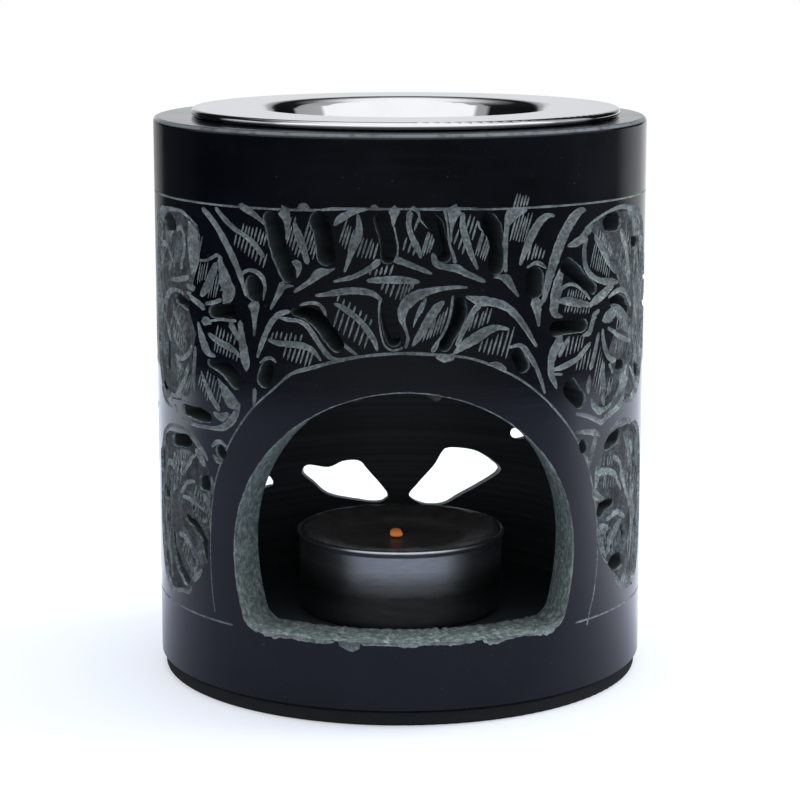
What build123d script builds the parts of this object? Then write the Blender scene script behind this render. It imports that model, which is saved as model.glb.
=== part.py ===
from build123d import *
from math import atan2, cos, degrees, hypot, radians, sin, sqrt
import os

# Essential oil burner: a carved stone cylinder with an arched mouth, a loose spun metal dish on
# its top rim, a tealight standing on its floor and a thin pad stuck under it.
# Millimetres. +Z is up, the mouth faces -Y, and the origin is under the middle of the pad.

# Pad under the stone
pad_thickness = 2.5
pad_inset = 0.75
pad_edge_fillet = 0.5

# Turned stone
stone_diameter = 90.0
stone_height = 100.0
wall = 9.0
floor_thickness = 8.5
rim_wear = 0.9
foot_wear = 0.5
floor_corner = 1.5

# Arched mouth, sawn from the front: its radius on the stone's face, and how much narrower each side
# of it is where it comes out in the bore, as high there as outside
mouth_radius = 29.7
mouth_narrowing = 3.0
mouth_spring = 26.6
mouth_sill = 12.6
mouth_foot_tuck = 2.2
mouth_foot_corner = 1.6
mouth_cut_depth = 27.5

# Carved and pierced vine band: the plain stone left above and below it, its vents, and how steeply
# the two leaves behind slope down to the outside, in degrees
plain_below_band = 12.7
plain_above_band = 12.8
vent_width = 3.0
petal_slope = 10.0

# Spun metal dish
dish_seat = 3.2
dish_sheet = 0.7
dish_bead = 1.45
dish_bowl_diameter = 53.0
dish_bowl_depth = 12.0
dish_shoulder_fillet = 1.6
dish_bowl_corner = 8.0
dish_bowl_lean = 5.0
dish_side_play = 1.0

# Tealight
cup_diameter = 38.0
cup_height = 15.2
cup_sheet = 0.35
cup_bottom_corner = 1.6
cup_setback = 5.5
wax_depth = 12.2
wax_pool_diameter = 27.0
wax_pool_depth = 1.2
wax_pool_corner = 0.6
wick_diameter = 1.3
wick_height = 3.0
wick_tip_fillet = 0.3
sustainer_diameter = 12.0
sustainer_sheet = 0.3
sustainer_neck_diameter = 3.0
sustainer_neck_height = 4.0

# Clearances and the overrun of cutting tools
wax_clearance = 0.05
overrun = 1.0

# Worked out from the sizes above
stone_radius = stone_diameter / 2
bore_radius = stone_radius - wall
stone_top = pad_thickness + stone_height
floor_top = pad_thickness + floor_thickness
dish_radius = bore_radius + dish_seat
carve_bottom = pad_thickness + plain_below_band
band_height = stone_height - plain_above_band - plain_below_band
upright = (Align.CENTER, Align.CENTER, Align.MIN)

# Each vent is a slot through the wall. Its first value is its width as a share of vent_width.
# Its points are the turn from the front in degrees and the height as a share of the carved band.
crown_vent_shares = [
    (1.13, (-30.3, 0.975), (-28.2, 0.907), (-26.1, 0.847)),
    (1.27, (-18.5, 0.970), (-17.1, 0.935), (-16.9, 0.897)),
    (1.00, (-5.4, 0.975), (-4.2, 0.942), (-3.7, 0.898)),
    (1.00, (5.1, 0.975), (7.2, 0.945), (8.2, 0.901)),
    (1.20, (18.2, 0.970), (20.0, 0.928), (20.3, 0.872)),
    (1.27, (-34.9, 0.824), (-34.8, 0.804)),
    (1.33, (29.7, 0.847), (29.5, 0.813)),
    (1.00, (-3.9, 0.789), (-3.3, 0.746), (-2.6, 0.705)),
    (0.87, (-24.0, 0.768), (-20.0, 0.753), (-14.9, 0.685)),
    (0.80, (11.9, 0.789), (11.8, 0.748), (8.1, 0.691)),
    (1.13, (-31.6, 0.633), (-32.4, 0.600)),
    (1.07, (25.2, 0.663), (26.8, 0.635)),
]
right_upper_vent_shares = [
    (1.00, (38.5, 0.855), (42.4, 0.830), (47.3, 0.795)),
    (0.87, (35.1, 0.717), (43.7, 0.716)),
    (1.27, (39.8, 0.570), (42.6, 0.539)),
    (1.27, (52.6, 0.946), (57.3, 0.947)),
    (0.63, (54.3, 0.756), (59.1, 0.758), (64.6, 0.722)),
    (0.73, (58.3, 0.599), (61.6, 0.596)),
    (0.80, (66.8, 0.882), (71.9, 0.880)),
    (0.80, (70.6, 0.573), (74.5, 0.557)),
]
left_upper_vent_shares = [
    (0.87, (-47.5, 0.747), (-41.3, 0.754)),
    (0.93, (-46.6, 0.621), (-42.4, 0.617), (-39.0, 0.589)),
    (0.80, (-59.4, 0.494), (-49.0, 0.495)),
    (1.13, (-70.6, 0.931), (-64.2, 0.932)),
    (0.67, (-63.6, 0.755), (-57.8, 0.745)),
    (1.00, (-70.6, 0.580), (-70.0, 0.634)),
]
side_corner_vent_shares = [
    (0.87, (44.2, 0.432), (44.7, 0.418)),
    (0.87, (-45.6, 0.417), (-44.9, 0.410)),
]
left_lower_vent_shares = [
    (0.87, (-66.8, 0.408), (-57.8, 0.421)),
    (1.00, (-51.5, 0.331), (-51.0, 0.326)),
    (0.73, (-60.3, 0.230), (-54.6, 0.214), (-51.6, 0.150)),
    (0.87, (-68.7, 0.174), (-65.7, 0.106), (-60.1, 0.071)),
    (0.87, (-77.4, 0.356), (-77.0, 0.309)),
    (1.00, (-75.5, 0.263), (-72.4, 0.262)),
]
right_lower_vent_shares = [
    (1.00, (53.8, 0.418), (59.8, 0.431)),
    (0.80, (51.6, 0.260), (57.5, 0.268)),
    (1.13, (57.3, 0.116), (61.9, 0.113)),
    (0.60, (62.5, 0.196), (63.7, 0.166)),
    (0.73, (71.1, 0.377), (71.3, 0.312)),
    (0.73, (73.2, 0.185), (76.4, 0.147)),
]
back_vent_shares = [
    (1.00, (180.6, 0.965), (179.4, 0.900)),
    (1.00, (179.4, 0.700), (180.6, 0.760)),
    (1.00, (172.0, 0.600), (169.0, 0.660)),
    (1.00, (188.0, 0.600), (191.0, 0.660)),
    (0.87, (168.0, 0.380), (174.0, 0.430)),
    (0.87, (192.0, 0.380), (186.0, 0.430)),
]
vine_repeat_turn = 45.0
vine_repeats_behind = 2
lower_repeats_behind = 1

# Two large leaves pierced through the back wall, drawn on the bore as seen from the front: the
# sideways place as a share of bore_radius and the height as a share of the carved band.
left_petal_shares = [
    (-0.050, 0.107), (-0.061, 0.090), (-0.106, 0.082), (-0.211, 0.089), (-0.381, 0.111),
    (-0.467, 0.149), (-0.528, 0.183), (-0.489, 0.200), (-0.381, 0.188), (-0.300, 0.201),
    (-0.211, 0.199), (-0.161, 0.173),
]
right_petal_shares = [
    (0.072, 0.099), (0.156, 0.077), (0.267, 0.078), (0.356, 0.103), (0.481, 0.145),
    (0.569, 0.180), (0.572, 0.199), (0.511, 0.220), (0.425, 0.238), (0.294, 0.238),
    (0.256, 0.224), (0.211, 0.187), (0.122, 0.136),
]

# Places at which the mouth's two outlines are joined: turns round the arch in degrees, and how far
# down its legs
mouth_turns = [0, 30, 60, 90, 120, 150, 180]
mouth_leg_shares = [0, 0.5, 1]


def rod(radius, height, base=0):
    """An upright round solid that stands at a height."""
    return Pos(0, 0, base) * Cylinder(radius, height, align=upright)


def band_point(height_share):
    """Height above the origin of a place in the carved band."""
    return carve_bottom + height_share * band_height


def stone_blank():
    """The turned cylinder, bored from the top, with worn edges."""
    blank = rod(stone_radius, stone_height, pad_thickness)
    blank -= rod(bore_radius, stone_height, floor_top)
    blank = fillet(round_edges(blank).group_by(Axis.Z)[-1], rim_wear)
    floor_edge = round_edges(blank).filter_by(lambda edge: abs(edge.center().Z - floor_top) < rim_wear)
    blank = fillet(floor_edge, floor_corner)
    return chamfer(round_edges(blank).group_by(Axis.Z)[0], foot_wear)


def round_edges(shape):
    """The circular edges of a turned shape."""
    return shape.edges().filter_by(GeomType.CIRCLE)


def crown_place(half, turn):
    """A place on the crown of an arch of a half width, by its turn from the right: sideways and up."""
    spring = pad_thickness + mouth_spring
    return half * cos(radians(turn)), spring + mouth_radius * sin(radians(turn))


def leg_place(half, share, side):
    """A place on a leg of that arch, by the share of its way down to the sill."""
    across = side * (half - mouth_foot_tuck * share ** 2)
    return across, pad_thickness + mouth_spring - share * (mouth_spring - mouth_sill)


def ruled_place(place, distance, *rest):
    """Where the line from the mouth's edge on the stone's face to its edge in the bore meets
    the plane Y = -distance."""
    outer = place(mouth_radius, *rest)
    inner = place(mouth_radius - mouth_narrowing, *rest)
    outer_reach = sqrt(stone_radius ** 2 - outer[0] ** 2)
    inner_reach = sqrt(bore_radius ** 2 - inner[0] ** 2)
    share = (distance - inner_reach) / (outer_reach - inner_reach)
    return tuple(near + share * (far - near) for far, near in zip(outer, inner))


def mouth_outline(distance):
    """The arch as a face on the plane Y = -distance, narrower nearer the middle."""
    crown = [ruled_place(crown_place, distance, turn) for turn in mouth_turns]
    left_leg = [ruled_place(leg_place, distance, share, -1) for share in mouth_leg_shares]
    right_leg = [ruled_place(leg_place, distance, share, 1) for share in mouth_leg_shares]
    base = Line(left_leg[-1], right_leg[-1])
    edges = [Spline(*crown), ThreePointArc(*left_leg), base, ThreePointArc(*right_leg)]
    face = make_face(Curve() + edges)
    corners = face.vertices().group_by(Axis.Y)[0]
    face = fillet(corners, mouth_foot_corner)
    return Plane(origin=(0, -distance, 0), x_dir=(1, 0, 0), z_dir=(0, -1, 0)) * face


def mouth_cutter():
    """The splayed arch, from outside the stone to inside the bore."""
    outer = mouth_outline(stone_radius + overrun)
    inner = mouth_outline(stone_radius - mouth_cut_depth)
    return loft([outer, inner], ruled=True)


def vent_cutter(width_share, points, turn=0.0, mirror_turn=False):
    """One slot through the wall, straight or bent, square to the wall at its middle."""
    side = -1 if mirror_turn else 1
    turns = [side * point[0] + turn for point in points]
    middle_turn = sum(turns) / len(turns)
    middle_height = band_point(sum(point[1] for point in points) / len(points))
    outward = (sin(radians(middle_turn)), -cos(radians(middle_turn)), 0)
    sideways = (cos(radians(middle_turn)), sin(radians(middle_turn)), 0)
    reach = stone_radius + overrun
    place = Plane(
        origin=(outward[0] * reach, outward[1] * reach, middle_height),
        x_dir=sideways,
        z_dir=outward,
    )
    flat = [
        (radians(angle - middle_turn) * stone_radius, band_point(point[1]) - middle_height)
        for angle, point in zip(turns, points)
    ]
    width = width_share * vent_width
    if len(flat) > 2:
        slot = SlotArc(ThreePointArc(*flat), width)
    else:
        run = (flat[1][0] - flat[0][0], flat[1][1] - flat[0][1])
        middle = ((flat[0][0] + flat[1][0]) / 2, (flat[0][1] + flat[1][1]) / 2)
        slope = degrees(atan2(run[1], run[0]))
        slot = Pos(*middle) * SlotCenterToCenter(hypot(*run), width, rotation=slope)
    depth = wall + 2 * overrun
    return extrude(place * slot, amount=-depth)


def vent_cutters():
    """Every slot of the vine band, the side clusters repeated round the back."""
    cutters = []
    front_vents = crown_vent_shares + side_corner_vent_shares + back_vent_shares
    cutters += [vent_cutter(vent[0], vent[1:]) for vent in front_vents]
    for repeat in range(vine_repeats_behind + 1):
        turn = repeat * vine_repeat_turn
        cutters += [vent_cutter(vent[0], vent[1:], turn) for vent in right_upper_vent_shares]
        cutters += [vent_cutter(vent[0], vent[1:], -turn) for vent in left_upper_vent_shares]
    for repeat in range(lower_repeats_behind + 1):
        turn = repeat * vine_repeat_turn
        cutters += [vent_cutter(vent[0], vent[1:], turn) for vent in right_lower_vent_shares]
        cutters += [vent_cutter(vent[0], vent[1:], -turn) for vent in left_lower_vent_shares]
    return cutters


def petal_cutter(shares):
    """A large leaf-shaped window through the back wall, sloping down to the outside."""
    points = [(share[0] * bore_radius, band_point(share[1])) for share in shares]
    outline = make_face(Spline(*points, periodic=True))
    back = Plane(origin=(0, bore_radius, 0), x_dir=(1, 0, 0), z_dir=(0, -1, 0))
    outward = (0, cos(radians(petal_slope)), -sin(radians(petal_slope)))
    return extrude(back * outline, amount=wall + overrun, dir=outward, both=True)


def build_stone():
    """The stone with its mouth, its vents and its two pierced leaves."""
    tools = [mouth_cutter(), petal_cutter(left_petal_shares), petal_cutter(right_petal_shares)]
    return stone_blank() - (tools + vent_cutters())


def build_pad():
    """The thin pad stuck under the stone."""
    pad = rod(stone_radius - pad_inset, pad_thickness)
    return fillet(pad.edges().group_by(Axis.Z)[0], pad_edge_fillet)


def build_dish():
    """The spun dish: a bead that rests on the stone, a flat flange and a round bowl, narrower at its foot."""
    bowl = dish_bowl_diameter / 2
    bead = dish_bead / 2
    top = stone_top + dish_bead
    under = top - dish_sheet
    bottom = top - dish_bowl_depth
    inner_bowl = bowl - dish_sheet
    foot = bowl - dish_bowl_lean
    inner_foot = inner_bowl - dish_bowl_lean
    flange = Polyline(
        (dish_radius - bead, top), (inner_bowl, top), (inner_foot, bottom), (0, bottom)
    )
    outer = Polyline(
        (0, bottom - dish_sheet),
        (foot, bottom - dish_sheet),
        (bowl, under),
        (dish_radius - bead, under),
    )
    closing = [
        Line((0, bottom), (0, bottom - dish_sheet)),
        Line((dish_radius - bead, under), (dish_radius - bead, top)),
    ]
    section = make_face(Curve() + [flange, outer] + closing)
    inside_corner = dish_bowl_corner - dish_sheet
    section = fillet(pick(section, inner_foot, bottom), inside_corner)
    section = fillet(pick(section, foot, bottom - dish_sheet), dish_bowl_corner)
    section = fillet(pick(section, inner_bowl, top), dish_shoulder_fillet + dish_sheet)
    section = fillet(pick(section, bowl, under), dish_shoulder_fillet)
    section += Pos(dish_radius - bead, top - bead) * Circle(bead)
    spun = revolve(Plane.XZ * section, Axis.Z)
    return Pos(dish_side_play, 0, 0) * spun


def pick(face, across, up):
    """The corner of a flat section nearest to a place."""
    return face.vertices().sort_by_distance(Vector(across, up))[0]


def at_tealight(shape):
    """Stand a shape where the tealight stands."""
    return Pos(0, -cup_setback, floor_top) * shape


def build_cup():
    """The thin cup, a pressed shell with a rolled foot corner."""
    radius = cup_diameter / 2
    solid = rod(radius, cup_height)
    solid = fillet(solid.edges().group_by(Axis.Z)[0], cup_bottom_corner)
    inside = rod(radius - cup_sheet, cup_height, cup_sheet)
    inside = fillet(inside.edges().group_by(Axis.Z)[0], cup_bottom_corner - cup_sheet)
    return at_tealight(solid - inside)


def wick_solid():
    """The wick as a straight round cord from the cup's floor to above the wax."""
    return rod(wick_diameter / 2, wax_depth + wick_height, cup_sheet)


def sustainer_solid():
    """The tin disc and neck without the wick's hole."""
    disc = rod(sustainer_diameter / 2, sustainer_sheet, cup_sheet)
    return disc + rod(sustainer_neck_diameter / 2, sustainer_neck_height, cup_sheet)


def build_sustainer():
    """The tin disc and neck that hold the wick upright."""
    return at_tealight(sustainer_solid() - wick_solid())


def build_wick():
    """The wick with its rounded tip."""
    wick = wick_solid()
    return at_tealight(fillet(wick.edges().group_by(Axis.Z)[-1], wick_tip_fillet))


def build_wax():
    """The wax, with a melted hollow round the wick, moulded round the sustainer."""
    body = rod(cup_diameter / 2 - cup_sheet - wax_clearance, wax_depth, cup_sheet)
    body = fillet(body.edges().group_by(Axis.Z)[0], cup_bottom_corner - cup_sheet)
    surface = cup_sheet + wax_depth
    pool = rod(wax_pool_diameter / 2, wax_pool_depth + overrun, surface - wax_pool_depth)
    pool = fillet(pool.edges().group_by(Axis.Z)[0], wax_pool_corner)
    return at_tealight(body - [pool, sustainer_solid(), wick_solid()])


parts = {
    "stone_body": build_stone(),
    "base_pad": build_pad(),
    "oil_dish": build_dish(),
    "tealight_cup": build_cup(),
    "tealight_wax": build_wax(),
    "tealight_wick": build_wick(),
    "wick_sustainer": build_sustainer(),
}

os.makedirs("parts", exist_ok=True)
for name, shape in parts.items():
    export_step(shape, f"parts/{name}.step")
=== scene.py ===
import math
import random
import bpy
import numpy as np
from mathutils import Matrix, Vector, kdtree, noise
from mathutils.geometry import delaunay_2d_cdt


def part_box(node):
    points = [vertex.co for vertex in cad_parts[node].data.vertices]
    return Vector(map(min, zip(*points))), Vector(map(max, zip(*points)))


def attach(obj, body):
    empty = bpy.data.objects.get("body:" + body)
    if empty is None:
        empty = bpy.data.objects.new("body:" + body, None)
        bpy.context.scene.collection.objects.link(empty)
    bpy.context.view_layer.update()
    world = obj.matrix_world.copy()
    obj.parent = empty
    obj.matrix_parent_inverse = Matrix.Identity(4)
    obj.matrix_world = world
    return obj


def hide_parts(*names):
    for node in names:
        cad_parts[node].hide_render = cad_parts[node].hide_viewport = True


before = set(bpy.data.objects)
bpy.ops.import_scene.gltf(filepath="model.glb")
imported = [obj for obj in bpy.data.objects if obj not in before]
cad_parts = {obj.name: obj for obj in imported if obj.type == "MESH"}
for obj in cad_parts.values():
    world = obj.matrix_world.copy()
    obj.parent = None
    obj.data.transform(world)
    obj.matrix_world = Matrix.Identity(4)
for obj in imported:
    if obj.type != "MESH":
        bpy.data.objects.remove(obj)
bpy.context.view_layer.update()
random.seed(7)
noise.seed_set(7)

# Sizes are in millimetres and turned into metres as vertices are made. +Z is up, the mouth faces
# -Y. Places on the wall are unrolled: u is the arc to the right of the front, measured on the
# outside of the stone, and z is the height.
mm = 0.001
stone_low, stone_high = (Vector(corner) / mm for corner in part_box("stone_body"))
cup_low, cup_high = (Vector(corner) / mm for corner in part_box("tealight_cup"))
_, wick_high = (Vector(corner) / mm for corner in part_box("tealight_wick"))

# Stone, and the arc all round it
stone_radius = stone_high.x
stone_top = stone_high.z
stone_foot = stone_low.z
wall = 9.0
bore_radius = stone_radius - wall
floor_top = cup_low.z
rim_round = 0.9
foot_bevel = 0.5
floor_corner = 1.5
floor_rings = (30, 24, 18, 12, 6)
around = 2 * math.pi * stone_radius

# Arched mouth, as it is cut in the stone, and how far its inner edge lies to the right. A hole wider
# than mouth_least_width can only be the mouth.
mouth_radius = 29.7
mouth_narrowing = 3.0
mouth_spring = 29.1
mouth_sill = 15.1
mouth_tuck = 2.2
mouth_corner = 1.6
mouth_shift = 0.8
mouth_corner_share = 0.88
mouth_least_width = 40.0
sill_rough = 0.3
sill_edge = 0.4

# The leaves pierced through the back slope down to the outside
petal_slope = math.tan(math.radians(10))
window_reach = 1.5

# Carving: how deep and steep the cuts are, how wide the worn edge of the mouth is, how rough the sides
# of the mouth and of the vents are (coarse and fine), and how often the side clusters come again
deepest_groove = 0.95
slope_share = 0.8
tick_width = 0.36
tick_depth = 0.16
scoop_depth = 0.42
ground_depth = 0.3
least_depth = 0.02
edge_width = 0.42
mouth_rough = (0.22, 0.16)
vent_rough = (0.16, 0.05)
repeat_turn = around / 8

# How finely each kind of cut is drawn, and how uneven its width is as a share of it
stroke_step, stroke_share = 0.45, 0.07
chip_step, chip_share = 0.3, 0.2
scribed_step, scribed_share = 1.0, 0.12
hollow_step, hollow_share = 0.8, 0.04
vent_step, vent_share = 0.6, 0.05
window_step = 0.7
edge_share = 0.25
thinnest = 0.12
broadened_share = 1.25
hatch_lean = 0.32

# How finely the shapes are meshed
columns = 360
outer_spacing, inner_spacing = 1.15, 2.2
crown_points, leg_points, sill_points, lower_ring_points = 101, 20, 90, 60
tealight_angles = np.linspace(0, 2 * math.pi, 144, endpoint=False)
touching = 1e-4

# Dark, middle and pale tones of the sunk grounds and of the scraped leaves
sunk_tones = (0.010, 0.013, 0.015), (0.028, 0.034, 0.037), (0.085, 0.097, 0.10)
leaf_tones = (0.040, 0.050, 0.053), (0.095, 0.115, 0.118), (0.22, 0.25, 0.255)

# Heights of the bumps, in metres, and how far below the wick's top its orange tip with the painted glow
# starts and ends
polish_bump, cut_bump, scrape_bump, side_bump = 0.00001, 0.00014, 0.0002, 0.0003
bore_bump, wax_bump, felt_bump, wick_bump = 0.00008, 0.00008, 0.00015, 0.0001
glowing_tip_low, glowing_tip_high = 2.6, 0.6

# Floor and lamps in metres. Each lamp has a place, a size, a power and a colour. The camera is fitted
# to the edges of the stone in the photograph: its place in millimetres and its turn in degrees.
lamps = {
    "top_softbox": ((0.0, 0.05, 0.9), (0.9, 0.9), 6.0, (0.97, 0.98, 1.0)),
    "right_softbox": ((0.8, 0.15, 0.35), (0.5, 0.8), 8.5, (1, 1, 1)),
    "left_softbox": ((-0.8, 0.35, 0.35), (0.4, 0.8), 2.3, (1, 1, 1)),
}
lamp_target = Vector((0, 0, 0.05))
floor_radius, floor_points = 0.34, 96
camera_place = (-9.76, -462.25, 136.87)
camera_turn = (79.263, 0, -1.21)
camera_lens, camera_sensor, camera_clip = 113.24, 36.0, 0.01

# Tealight: rings of the wax as radius, drop below the cup's rim, unevenness across and up; rings of
# the wick as drop below its top, radius and lean to the left; and the cup's outline
wax_rings = [
    (17.9, 14.2, 0, 0), (18.5, 13.0, 0, 0), (18.5, 0.5, 0, 0.15), (18.2, -0.15, 0.15, 0.5),
    (17.3, -0.3, 0.35, 0.6), (16, 0.2, 0.5, 0.4), (14, 0.8, 0.5, 0.25), (12.4, 1.05, 0.7, 0.25),
    (11.7, 1.5, 0.6, 0.15), (11.0, 1.9, 0.5, 0), (7, 2.0, 0, 0), (3, 2.0, 0, 0),
]
wick_rings = [
    (4.2, 0.6, 0), (3.2, 0.65, 0.3), (2.5, 0.75, 0.6), (2.2, 1.0, 0.75), (1.9, 1.12, 0.8), (1.6, 1.15, 0.85),
    (1.2, 1.05, 0.85), (0.9, 0.8, 0.85), (0.7, 0.45, 0.85), (0.62, 0.15, 0.85),
]
cup_outline = [
    (16.6, 15.2), (17.6, 15.0), (18.4, 14.4), (18.75, 13.4), (18.8, 8), (18.85, 1.5), (18.95, 1.0),
    (19.2, 0.8), (19.32, 0.5), (19.25, 0.2), (19.05, 0.02), (18.8, 0), (18.65, 0.15), (18.6, 0.6),
    (18.6, 1.4),
    (18.6, 6), (18.55, 13.4), (17.6, 14.6), (16.6, 14.85),
]

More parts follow.
